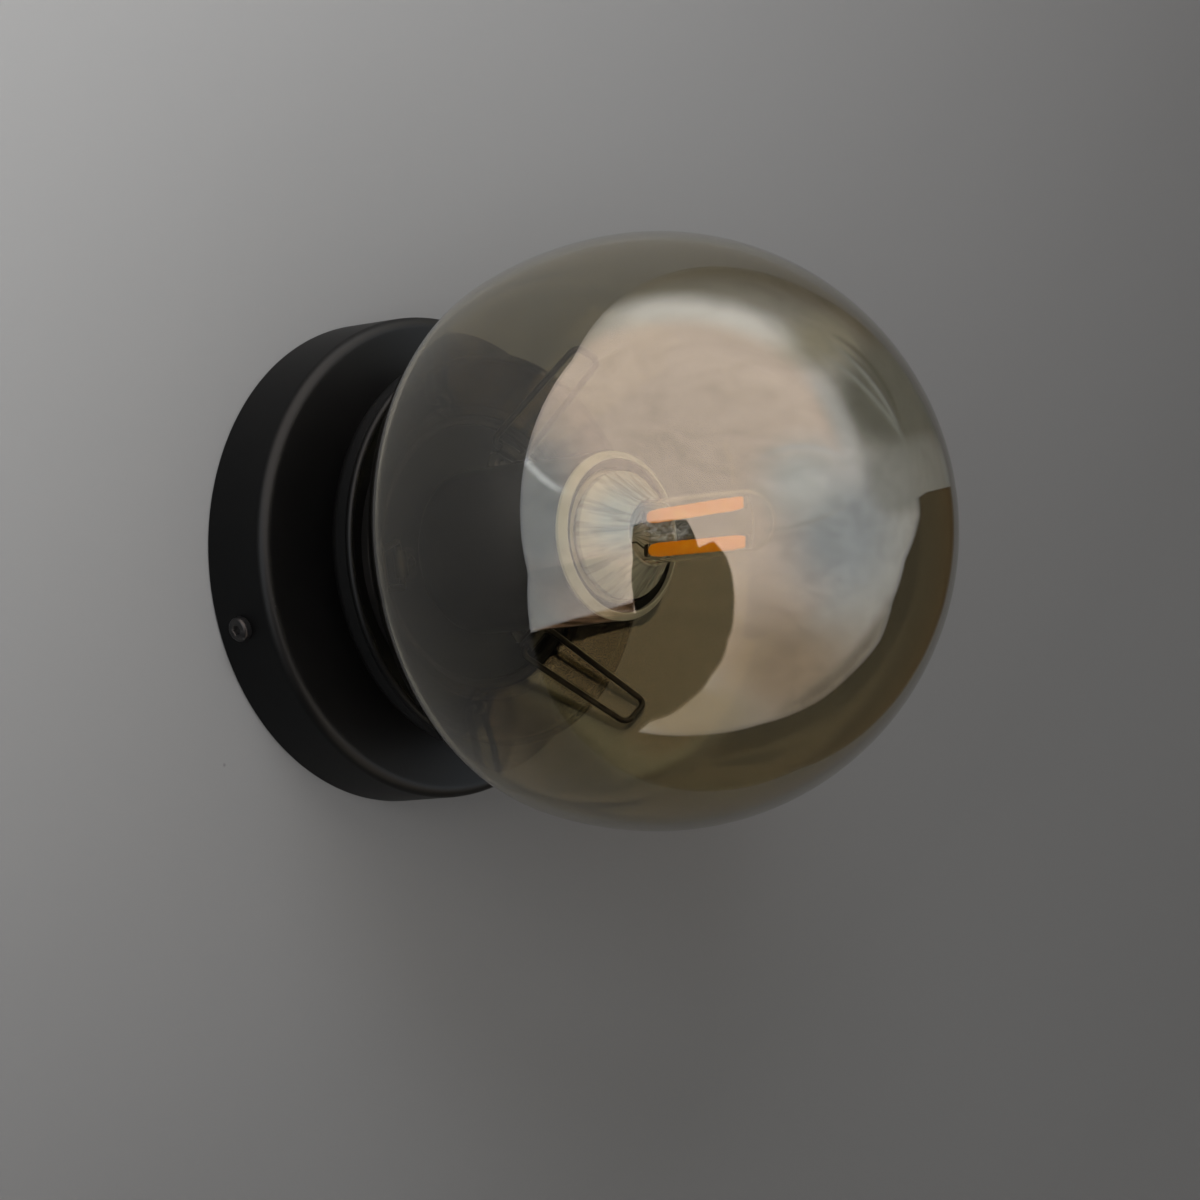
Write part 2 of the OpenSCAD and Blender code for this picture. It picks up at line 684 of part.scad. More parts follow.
// Outline of the blown glass, offset inwards by a distance: sphere in front, then a long flat
// curve behind the equator, a tighter shoulder and a straight back down to the open edge
function glass_line(inset) = let (
    r = globe_d / 2,
    wx = r - waist_r,
    a1 = asin(waist_len / waist_r),
    sx = wx + (waist_r - shoulder_r) * cos(a1),
    sy = globe_centre - (waist_r - shoulder_r) * sin(a1),
    bx = sx + (shoulder_r - inset) * cos(back_slope),
    by = sy - (shoulder_r - inset) * sin(back_slope),
    back = by - glass_edge)
    concat(arc(0, globe_centre, r - inset, 90, 0, 24),
        arc(wx, globe_centre, waist_r - inset, 0, -a1, 5),
        arc(sx, sy, shoulder_r - inset, -a1, -back_slope, 7),
        [[bx - back * tan(back_slope), glass_edge]]);

function reversed(list) = [for (i = [len(list) - 1:-1:0]) list[i]];

module glass_globe() {
    color([0.36, 0.33, 0.28], 0.5) on_axis()
        revolve(concat(glass_line(0), reversed(glass_line(glass_wall))));
}

// Clear capsule, open at its back end, where it stands in the collar
module bulb_glass() {
    r = capsule_d / 2;
    dome = capsule_tip - r;
    color([0.9, 0.92, 0.95], 0.4) on_axis() revolve(concat([[r - capsule_wall, capsule_back],
        [r, capsule_back]], arc(0, dome, r, 0, 90, 12), arc(0, dome, r - capsule_wall, 90, 0, 12)));
}

// Ceramic collar: a plug that stands in the well, a wide flange over the cup's mouth and a
// cone up to the capsule
module bulb_collar() {
    r = capsule_d / 2;
    color("white") on_axis() revolve(concat([[0, collar_seat], [8.6, collar_seat], [9, collar_seat + 0.4],
        [9, 77], [12.6, 82.2], [13.2, flange_back - 0.2], [flange_r - 0.5, flange_back],
        [flange_r, flange_back + 0.5]], arc(flange_r - 0.5, flange_front - 0.5, 0.5, 0, 60, 4),
        [[r + 0.9, collar_top - 0.9], [r + 0.6, collar_top], [r + 0.05, collar_top],
        [r + 0.05, capsule_back - 0.1], [0, capsule_back - 0.1]]));
}

// Two pin loops, each a bent wire in the plane of the pair
module bulb_pins() {
    tip = holder_back + 3.4;
    color("silver") on_axis() for (side = [-1, 1]) translate([side * pin_pitch / 2, 0, 0]) {
        for (leg = [-1, 1])
            bar([leg * pin_half, 0, tip], [leg * pin_half, 0, collar_seat], pin_wire);
        translate([0, 0, tip]) rotate([-90, 0, 0]) rotate_extrude(angle = 180, $fn = small)
            translate([pin_half, 0]) circle(r = pin_wire, $fn = small);
    }
}

// Where a filament's coated strip begins, and its far end
function filament_foot(side) = [-side * filament_side, filament_mid + side * filament_off, filament_start];
function filament_end(side, extra = 0) = let (lean = filament_lean + side * filament_splay)
    filament_foot(side) + (filament_len + extra) * [0, sin(lean), cos(lean)];

// One filament: an upright thin strip coated with phosphor, rounded along its edges
module filament(side) {
    edge = (filament_width - filament_thick) / 2;
    color("orange") on_axis() translate(filament_foot(side))
        rotate([-side * filament_splay - filament_lean, 0, 0]) linear_extrude(filament_len) union() {
            square([filament_thick, 2 * edge], center = true);
            for (end = [-1, 1]) translate([0, end * edge]) circle(d = filament_thick, $fn = 20);
        }
}

module filament_upper() { filament(1); }
module filament_lower() { filament(-1); }

// Support wires from the collar to the filaments, and the bridge between their far ends
module filament_wires() {
    foot = capsule_back - 0.1;
    apex = (filament_end(1, 1.6) + filament_end(-1, 1.6)) / 2;
    color("lightgray") on_axis() for (side = [-1, 1]) {
        bar([0, side * 2.2, foot], [0, side * 2.2, foot + 2.4], 0.3, 16);
        bar([0, side * 2.2, foot + 2.2], filament_foot(side) - [0, 0, 0.3], 0.25, 16);
        bar(filament_end(side, 0.3), apex - [0, side * 0.3, 0], 0.25, 16);
    }
}

wall_bracket();
cable_grommet();
earth_screw();
earth_washer();
terminal_block();
terminal_tubes();
terminal_screws();
block_screws();
canopy();
side_screws();
canopy_nut();
canopy_washer();
earth_tag();
nipple();
spacer_collar();
shade_dish();
glass_gasket();
lamp_cup();
mouth_ring();
cup_washer();
cup_nut();
lampholder_strap();
lampholder();
lampholder_screws();
pin_contacts();
live_lead();
neutral_lead();
earth_lead();
clip_leaf_a();
clip_leaf_b();
clip_leaf_c();
clip_rivets();
clip_wire_a();
clip_wire_b();
clip_wire_c();
glass_globe();
bulb_glass();
bulb_collar();
bulb_pins();
filament_upper();
filament_lower();
filament_wires();
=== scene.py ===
import bmesh
import bpy
import numpy as np
from mathutils import Matrix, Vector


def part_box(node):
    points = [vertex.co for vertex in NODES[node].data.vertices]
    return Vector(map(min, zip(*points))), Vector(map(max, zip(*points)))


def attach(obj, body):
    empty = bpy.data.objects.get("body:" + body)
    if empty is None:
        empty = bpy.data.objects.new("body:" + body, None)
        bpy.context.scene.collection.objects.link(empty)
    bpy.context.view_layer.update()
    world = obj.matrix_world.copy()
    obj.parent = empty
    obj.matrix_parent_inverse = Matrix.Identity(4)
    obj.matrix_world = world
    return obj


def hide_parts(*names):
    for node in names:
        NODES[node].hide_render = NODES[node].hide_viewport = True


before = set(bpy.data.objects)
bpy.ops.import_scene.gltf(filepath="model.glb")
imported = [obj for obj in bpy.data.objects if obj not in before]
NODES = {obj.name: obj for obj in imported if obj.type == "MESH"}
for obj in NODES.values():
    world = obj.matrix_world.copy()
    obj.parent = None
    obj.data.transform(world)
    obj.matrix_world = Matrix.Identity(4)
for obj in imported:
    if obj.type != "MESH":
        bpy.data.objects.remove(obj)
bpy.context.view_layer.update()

MM = 0.001
TAU = 2 * np.pi

# Sizes shared with the CAD source, in millimetres and degrees
CANOPY_R, CANOPY_DEPTH, CANOPY_CORNER, SHEET, BORE_R = 62.5, 21.0, 3.0, 1.0, 5.1
BRACKET_TURN, SIDE_SCREW_DEPTH, SCREW_HEAD_R, SOCKET_HALF, SHANK_LEN = 21.7, 9.2, 3.2, 1.25, 6.5
COLLAR_R, DISH_BACK, DISH_FLOOR, DISH_FRONT = 12.0, 32.0, 33.0, 42.0
DISH_R, DISH_CORNER, BEAD_R = 52.3, 5.0, 1.0
CUP_R, CUP_FRONT, CUP_SHEET, CUP_LIP, CUP_CORNER = 21.5, 85.0, 1.2, 17.4, 2.0
GASKET_IN, GASKET_OUT, GASKET_BED, GASKET_LIP = 33.4, 40.0, 1.4, 2.6
GLASS_R, GLASS_CENTRE, GLASS_WALL, GLASS_EDGE = 75.0, 99.0, 2.0, 34.7
FLANK_R, FLANK_LEN, SHOULDER_R, BACK_SLOPE = 97.0, 26.0, 25.0, 45.0
PIVOT_RHO, PIVOT_DEPTH, CLIP_LEAN, CLIP_LEN, CLIP_FOOT, CLIP_TIP = 28.8, 34.9, 50.4, 33.5, 6.0, 4.6
CLIP_TURNS, WIRE_R, WIRE_BEND = (-48, 72, 192), 0.85, 2.4
CAPSULE_R, CAPSULE_TIP, CAPSULE_BACK, CAPSULE_WALL = 8.0, 136.0, 89.2, 0.8
PLUG_R, COLLAR_SEAT, COLLAR_TOP, FLANGE_R, FLUTES = 9.0, 70.3, 97.0, 16.3, 24
FILAMENT_FOOT, FILAMENT_LEN, FILAMENT_HALF, SUPPORT_R = 94.5, 35.0, (0.43, 1.78), 0.25
THREAD_R, THREAD_RISE, NIPPLE_BORE, LEAD_R = 4.58, 0.36, 3.6, 0.89


# Surfaces

def to_frame(local):
    """A point (x, y, depth) of the lamp, in millimetres, becomes (x, -depth, y) in metres."""
    p = np.asarray(local, float)
    return np.stack([p[..., 0], -p[..., 2], p[..., 1]], -1) * MM


def about_axis(local, degrees):
    """Turns points about the lamp axis: x' = x cos t - y sin t, y' = x sin t + y cos t."""
    t = np.radians(degrees)
    p = np.asarray(local, float)
    return np.stack([p[..., 0] * np.cos(t) - p[..., 1] * np.sin(t),
                     p[..., 0] * np.sin(t) + p[..., 1] * np.cos(t), p[..., 2]], -1)


def weave(rows, cols, wrap_rows, wrap_cols):
    """Quads of a grid: each point joins its neighbour in the next row and column, round the ends where it
    wraps."""
    i = np.arange(rows if wrap_rows else rows - 1)[:, None]
    j = np.arange(cols if wrap_cols else cols - 1)[None, :]
    a = i * cols + j
    b = i * cols + (j + 1) % cols
    c = ((i + 1) % rows) * cols + (j + 1) % cols
    d = ((i + 1) % rows) * cols + j
    return np.stack([a, b, c, d], -1).reshape(-1, 4)


def piece(name, body, slot, node, grids, finish=None, sharp=None):
    """Joins grids of points, each given as (grid, whether its rows wrap), into one closed mesh. Their columns
    always wrap. Poles are merged and faces turned outwards. The finish is that of the slot unless it is
    named."""
    points, quads, start = [], [], 0
    for grid, wrap_rows in grids:
        rows, cols = grid.shape[:2]
        points.append(grid.reshape(-1, 3))
        quads.append(weave(rows, cols, wrap_rows, True) + start)
        start += rows * cols
    mesh = bpy.data.meshes.new(name)
    mesh.from_pydata(np.concatenate(points).tolist(), [], np.concatenate(quads).tolist())
    shape = bmesh.new()
    shape.from_mesh(mesh)
    bmesh.ops.remove_doubles(shape, verts=shape.verts, dist=2e-7)
    open_edges = [edge for edge in shape.edges if edge.is_boundary]
    if open_edges:
        bmesh.ops.holes_fill(shape, edges=open_edges, sides=0)
    bmesh.ops.recalc_face_normals(shape, faces=shape.faces)
    shape.to_mesh(mesh)
    shape.free()
    mesh.polygons.foreach_set("use_smooth", np.ones(len(mesh.polygons), bool))
    if sharp:
        mesh.set_sharp_from_angle(angle=np.radians(sharp))
    mesh.materials.append(FINISH[finish or slot])
    obj = bpy.data.objects.new(name, mesh)
    bpy.context.scene.collection.objects.link(obj)
    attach(obj, body)
    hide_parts(node)
    return obj


def eased(corners, radii, steps=7, closed=False):
    """An outline through its corners, each rounded by an arc that touches both sides. A short straight lies
    beside each arc, so that the flats keep their own light."""
    corners = np.asarray(corners, float)
    out, last = [], len(corners) - 1
    for k, (here, r) in enumerate(zip(corners, radii)):
        if r <= 0 or (not closed and k in (0, last)):
            out.append(here[None])
            continue
        sides = [corners[k - 1] - here, corners[(k + 1) % (last + 1)] - here]
        lengths = [np.linalg.norm(side) for side in sides]
        a, b = (side / length for side, length in zip(sides, lengths))
        half = np.arccos(np.clip(a @ b, -1, 1)) / 2
        reach = r / np.tan(half)
        centre = here + (a + b) / np.linalg.norm(a + b) * r / np.sin(half)
        t = np.linspace(0, 1, steps + 1)[:, None]
        va, vb = here + a * reach - centre, here + b * reach - centre
        span = np.pi - 2 * half
        arc = centre + (np.sin((1 - t) * span) * va + np.sin(t * span) * vb) / np.sin(span)
        lead, tail = (reach + min(0.25 * r + 0.05, 0.45 * max(length - reach, 0)) for length in lengths)
        out += [(here + a * lead)[None], arc, (here + b * tail)[None]]
    return np.concatenate(out)


def bow(centre, r, start, end, n):
    """n + 1 points of an arc in (radius, depth), from one angle to another in degrees."""
    t = np.radians(np.linspace(start, end, n + 1))
    return np.stack([centre[0] + r * np.cos(t), centre[1] + r * np.sin(t)], -1)


def level(depth, *radii):
    """Points of an outline at one depth."""
    return [[r, depth] for r in radii]


def upright(r, *depths):
    """Points of an outline at one radius."""
    return [[r, depth] for depth in depths]


def lathe(outline, turns, flute=None):
    """Revolves an outline of (radius, depth) about the lamp axis: (r cos t, r sin t, depth). flute(t, r,
    depth) may add to the radius."""
    outline = np.asarray(outline, float)
    t = np.linspace(0, TAU, turns, endpoint=False)[None, :]
    r, d = (np.repeat(outline[:, k:k + 1], turns, 1) for k in (0, 1))
    if flute:
        r = r + flute(t, r, d)
    return to_frame(np.stack([r * np.cos(t), r * np.sin(t), d], -1))


def across_and_up(path, aside):
    """Two directions square to a path at each of its points, the first of them also square to a fixed
    direction."""
    run = np.gradient(path, axis=0)
    run /= np.linalg.norm(run, axis=1, keepdims=True)
    across = np.cross(run, np.asarray(aside, float))
    across /= np.linalg.norm(across, axis=1, keepdims=True)
    return across, np.cross(run, across)


def sweep(path, half, sides, aside, lobes=2.0):
    """Carries a rounded section along a path: centre + a cos(s) across + b sin(s) up. lobes above 2 squares
    the section off."""
    half = np.broadcast_to(half, (len(path), 2))
    across, up = across_and_up(path, aside)
    s = np.linspace(0, TAU, sides, endpoint=False)
    c, e = (np.sign(wave) * np.abs(wave) ** (2 / lobes) for wave in (np.cos(s), np.sin(s)))
    return (path[:, None] + half[:, None, :1] * c[None, :, None] * across[:, None]
            + half[:, None, 1:] * e[None, :, None] * up[:, None])


def capped(path, tube):
    """Draws the ends of a tube in to the first and last point of its path."""
    sides = tube.shape[1]
    return np.concatenate([np.repeat(path[:1, None], sides, 1), tube, np.repeat(path[-1:, None], sides, 1)])


def smooth_route(points, steps):
    """A smooth curve through the route's points: each stretch is a cubic of its four nearest points."""
    p = np.asarray(points, float)
    q = np.concatenate([p[:1], p, p[-1:]])
    a, b, c, d = q[:-3, None], q[1:-2, None], q[2:-1, None], q[3:, None]
    t = (np.arange(steps) / steps)[None, :, None]
    curve = 0.5 * (2 * b + (c - a) * t + (2 * a - 5 * b + 4 * c - d) * t * t
                   + (3 * b - a - 3 * c + d) * t ** 3)
    return np.concatenate([curve.reshape(-1, 3), p[-1:]])


def along(a, b, n):
    """n points from a to b."""
    return np.asarray(a, float) + np.linspace(0, 1, n)[:, None] * (np.asarray(b, float) - np.asarray(a, float))


# Finishes

def feed(tree, node, **values):
    """Sets a node's inputs, each to a value or to another node's output. _0, _1 and so on name inputs by
    number."""
    for key, value in values.items():
        socket = node.inputs[int(key[1:])] if key[0] == "_" else node.inputs[key.replace("_", " ")]
        if isinstance(value, bpy.types.NodeSocket):
            tree.links.new(value, socket)
        else:
            socket.default_value = (*value, 1) if socket.type == "RGBA" else value


def put(tree, kind, settings=None, **values):
    """Adds one shader node, with its settings and inputs."""
    node = tree.nodes.new("ShaderNode" + kind)
    for key, value in (settings or {}).items():
        setattr(node, key, value)
    feed(tree, node, **values)
    return node


def math(tree, operation, *values):
    """Arithmetic on one to three numbers."""
    values = {f"_{k}": value for k, value in enumerate(values)}
    return put(tree, "Math", {"operation": operation}, **values).outputs[0]


def vector(tree, operation, *values):
    """Vector arithmetic. Products, lengths and distances come out as numbers."""
    values = {f"_{k}": value for k, value in enumerate(values)}
    node = put(tree, "VectorMath", {"operation": operation}, **values)
    return node.outputs["Value" if operation in ("DOT_PRODUCT", "LENGTH", "DISTANCE") else "Vector"]


def blend(tree, fac, a, b, kind="MIX"):
    """Colour a, with b over it by fac."""
    return put(tree, "Mix", {"data_type": "RGBA", "blend_type": kind}, _0=fac, _6=a, _7=b).outputs[2]


def ramp(tree, fac, *stops):
    """Colours laid out by a factor, each stop a place and a linear colour."""
    node = put(tree, "ValToRGB", Fac=fac)
    while len(node.color_ramp.elements) < len(stops):
        node.color_ramp.elements.new(0.5)
    for element, (place, colour) in zip(node.color_ramp.elements, stops):
        element.position = place
        element.color = (*colour, 1)
    return node.outputs[0]


def greys(*stops):
    """Ramp stops of plain grey."""
    return [(place, (value, value, value)) for place, value in stops]


def noise(tree, place, scale, detail=3.0, rough=0.5, warp=0.0):
    """Cloudy noise between 0 and 1, scale to the metre."""
    return put(tree, "TexNoise", Vector=place, Scale=scale, Detail=detail, Roughness=rough,
               Distortion=warp).outputs[0]


def spread(tree, value, low, high, to_low, to_high, curve="LINEAR"):
    """Maps low..high to to_low..to_high, held at both ends."""
    return put(tree, "MapRange", {"interpolation_type": curve}, Value=value, From_Min=low, From_Max=high,
               To_Min=to_low, To_Max=to_high).outputs[0]


def flecks(tree, spot, scale, edge, core, rate, low, high, most=1.0):
    """Small round marks: the cores of a cell pattern, kept where a slow noise is high."""
    cells = put(tree, "TexVoronoi", Vector=spot, Scale=scale).outputs["Distance"]
    kept = spread(tree, noise(tree, spot, rate, 1.0), low, high, 0.0, most)
    return math(tree, "MULTIPLY", spread(tree, cells, edge, core, 0.0, 1.0), kept)


def blank(name, stretch=(1, 1, 1)):
    """A new material, with its nodes, its shader and the place on the piece."""
    made = bpy.data.materials.new(name)
    made.use_nodes = True
    tree = made.node_tree
    spot = put(tree, "Mapping", Vector=put(tree, "TexCoord").outputs["Object"], Scale=stretch).outputs[0]
    return made, tree, tree.nodes["Principled BSDF"], spot


def bumped(tree, bsdf, *layers):
    """Stacks height patterns, each (height, distance in mm, strength), into the normal."""
    normal = {}
    for height, distance, strength in layers:
        node = put(tree, "Bump", Height=height, Distance=distance * MM, Strength=strength, **normal)
        normal = {"Normal": node.outputs[0]}
    feed(tree, bsdf, **normal)


def clear_where(tree, fac, bsdf, tint=(1, 1, 1)):
    """Lets rays pass the surface, tinted, where fac is 1."""
    see = put(tree, "BsdfTransparent", Color=tint)
    both = put(tree, "MixShader", _0=fac, _1=bsdf.outputs[0], _2=see.outputs[0])
    feed(tree, tree.nodes["Material Output"], Surface=both.outputs[0])


def worked(name, dark, mid, light, rough, metal=0.0, stretch=(1, 1, 1), patch=60.0, grain=900.0, grain_mm=0.02,
           strength=0.3, coat=0.0, sheen=0.0, gloss=0.5, specks=None, worn=None):
    """A general finish: slow patches tint the colour, fine grain breaks the gloss and gives relief, specks
    are small marks of another colour, and worn brightens the raised edges."""
    made, tree, bsdf, spot = blank(name, stretch)
    slow = noise(tree, spot, patch, 4.0, 0.6, 0.3)
    fine = noise(tree, spot, grain, 3.0, 0.6)
    colour = ramp(tree, slow, (0.3, dark), (0.5, mid), (0.72, light))
    if specks:
        scale, size, tone = specks
        marks = flecks(tree, spot, scale, size, size * 0.6, scale * 0.35, 0.58, 0.62)
        colour = blend(tree, marks, colour, tone)
    if worn:
        low, high, tone = worn
        edge = spread(tree, put(tree, "NewGeometry").outputs["Pointiness"], low, high, 0.0, 1.0)
        rub = math(tree, "MULTIPLY", edge, spread(tree, slow, 0.4, 0.7, 0.2, 1.0))
        colour = blend(tree, rub, colour, tone)
    feed(tree, bsdf, Base_Color=colour, Metallic=metal, IOR=1.5, Specular_IOR_Level=gloss, Coat_Weight=coat,
         Sheen_Weight=sheen, Roughness=spread(tree, math(tree, "ADD", slow, fine), 0.6, 1.4, *rough))
    bumped(tree, bsdf, (fine, grain_mm, strength), (slow, grain_mm * 2, strength * 0.4))
    return made


def powder_coat():
    """Fine matt black powder coat: a near-black that varies slowly, orange-peel ripple of about 1 mm, a finer
    grain under it, and a few grey dust grains."""
    made, tree, bsdf, spot = blank("matt black powder coat")
    cloud = noise(tree, spot, 26.0, 3.0, 0.55, 0.4)
    colour = ramp(tree, cloud, *greys((0.3, 0.0016), (0.55, 0.0022), (0.75, 0.0030)))
    dust = flecks(tree, spot, 240.0, 0.075, 0.03, 70.0, 0.66, 0.70, 0.5)
    colour = blend(tree, dust, colour, (0.05, 0.048, 0.045))
    feed(tree, bsdf, Base_Color=colour, IOR=1.40, Specular_IOR_Level=0.18, Specular_Tint=(0.82, 0.92, 1.0),
         Roughness=spread(tree, cloud, 0.3, 0.75, 0.40, 0.47))
    peel, grain = noise(tree, spot, 1150.0, 2.0, 0.5), noise(tree, spot, 4200.0, 2.0, 0.6)
    bumped(tree, bsdf, (peel, 0.010, 0.5), (grain, 0.004, 0.5))
    return made


def glass_finish(name, clear, rim, ior, ripple, shadow):
    """Blown or drawn glass: the tint deepens towards the edges, where the wall is seen at a slant, and slow
    waves in the wall bend the reflections a little. Shadow rays pass straight through with the tint."""
    made, tree, bsdf, spot = blank(name)
    wave = noise(tree, spot, 9.0, 2.0, 0.45, 0.6)
    deep = spread(tree, put(tree, "LayerWeight", Blend=0.32).outputs["Facing"], 0.30, 1.0, 0.0, 1.0)
    uneven = math(tree, "ADD", deep, spread(tree, wave, 0.3, 0.7, -0.05, 0.05))
    feed(tree, bsdf, Base_Color=ramp(tree, uneven, (0.0, clear), (1.0, rim)), Transmission_Weight=1.0, IOR=ior,
         Roughness=spread(tree, noise(tree, spot, 24.0, 3.0, 0.5), 0.35, 0.75, 0.0, 0.008))
    bumped(tree, bsdf, (wave, ripple, 0.4))
    clear_where(tree, put(tree, "LightPath").outputs["Is Shadow Ray"], bsdf, shadow)
    return made


def porcelain_finish(name, cream, white, rough, streaks=0.0):
    """Glazed ceramic: white with cloudy depth, pinholes in the glaze and a slow ripple, under a clear coat.
    Streaks of painted reflection, darker rays multiplied into the colour, run out from the lamp axis."""
    made, tree, bsdf, spot = blank(name)
    ripple = noise(tree, spot, 330.0, 2.0, 0.5)
    cells = put(tree, "TexVoronoi", Vector=spot, Scale=420.0).outputs["Distance"]
    pin = spread(tree, cells, 0.10, 0.05, 0.0, 1.0)
    tone = ramp(tree, noise(tree, spot, 120.0, 4.0, 0.6, 0.5), (0.32, cream), (0.7, white))
    dim = (cream[0] * 0.6, cream[1] * 0.58, cream[2] * 0.5)
    tone = blend(tree, spread(tree, pin, 0.0, 1.0, 0.0, 0.35), tone, dim)
    # Painted reflection: dark streaks by bearing round the lamp axis, multiplied into the colour.
    if streaks:
        axes = put(tree, "SeparateXYZ", Vector=spot).outputs
        bearing, depth = math(tree, "ARCTAN2", axes[2], axes[0]), math(tree, "MULTIPLY", axes[1], 10.0)
        way = put(tree, "CombineXYZ", X=bearing, Y=depth).outputs[0]
        rays = ramp(tree, noise(tree, way, 7.0, 3.0, 0.6), *greys((0.38, 0.42), (0.52, 1.0)))
        tone = blend(tree, streaks, tone, rays, "MULTIPLY")
    feed(tree, bsdf, Base_Color=tone, Roughness=spread(tree, ripple, 0.3, 0.7, *rough), Coat_Weight=0.6,
         Coat_Roughness=0.04, Subsurface_Weight=0.1, Subsurface_Scale=0.001)
    bumped(tree, bsdf, (ripple, 0.02, 0.35), (pin, 0.02, -0.3))
    return made


def phosphor_finish():
    """Phosphor silicone of a filament: saturated orange with grains and slow thin spots, translucent, and a
    faint painted glow, an emission that stands in for the phosphor turning blue daylight into orange."""
    made, tree, bsdf, spot = blank("orange phosphor with painted glow")
    grains = noise(tree, spot, 2600.0, 3.0, 0.7)
    thick = noise(tree, spot, 180.0, 3.0, 0.6)
    colour = ramp(tree, thick, (0.3, (0.88, 0.25, 0.003)), (0.55, (0.95, 0.32, 0.006)),
                  (0.75, (1.0, 0.42, 0.02)))
    # Painted glow: the emission makes the strips shine by themselves, whatever light falls on them.
    feed(tree, bsdf, Base_Color=colour, Emission_Color=colour, Emission_Strength=0.38, Subsurface_Weight=0.3,
         Subsurface_Scale=0.0006, Roughness=spread(tree, grains, 0.3, 0.7, 0.38, 0.6))
    bumped(tree, bsdf, (grains, 0.03, 0.5), (thick, 0.06, 0.4))
    return made


def striped_sleeve():
    """Earth sleeve: green with one yellow stripe on each side. The stripe follows the side of the lead, by
    the sine of its place across it."""
    made, tree, bsdf, spot = blank("green and yellow PVC sleeve")
    around = put(tree, "SeparateXYZ", Vector=put(tree, "UVMap", {"uv_map": "wrap"}).outputs[0]).outputs[0]
    fine = noise(tree, spot, 1300.0)
    edge = math(tree, "ADD", math(tree, "SINE", math(tree, "MULTIPLY", around, TAU * 2)),
                spread(tree, fine, 0.3, 0.7, -0.08, 0.08))
    stripe = spread(tree, edge, -0.06, 0.06, 0.0, 1.0)
    colour = ramp(tree, stripe, (0.0, (0.030, 0.20, 0.035)), (1.0, (0.62, 0.50, 0.02)))
    feed(tree, bsdf, Base_Color=colour, Roughness=spread(tree, fine, 0.3, 0.7, 0.30, 0.46))
    bumped(tree, bsdf, (fine, 0.02, 0.3))
    return made


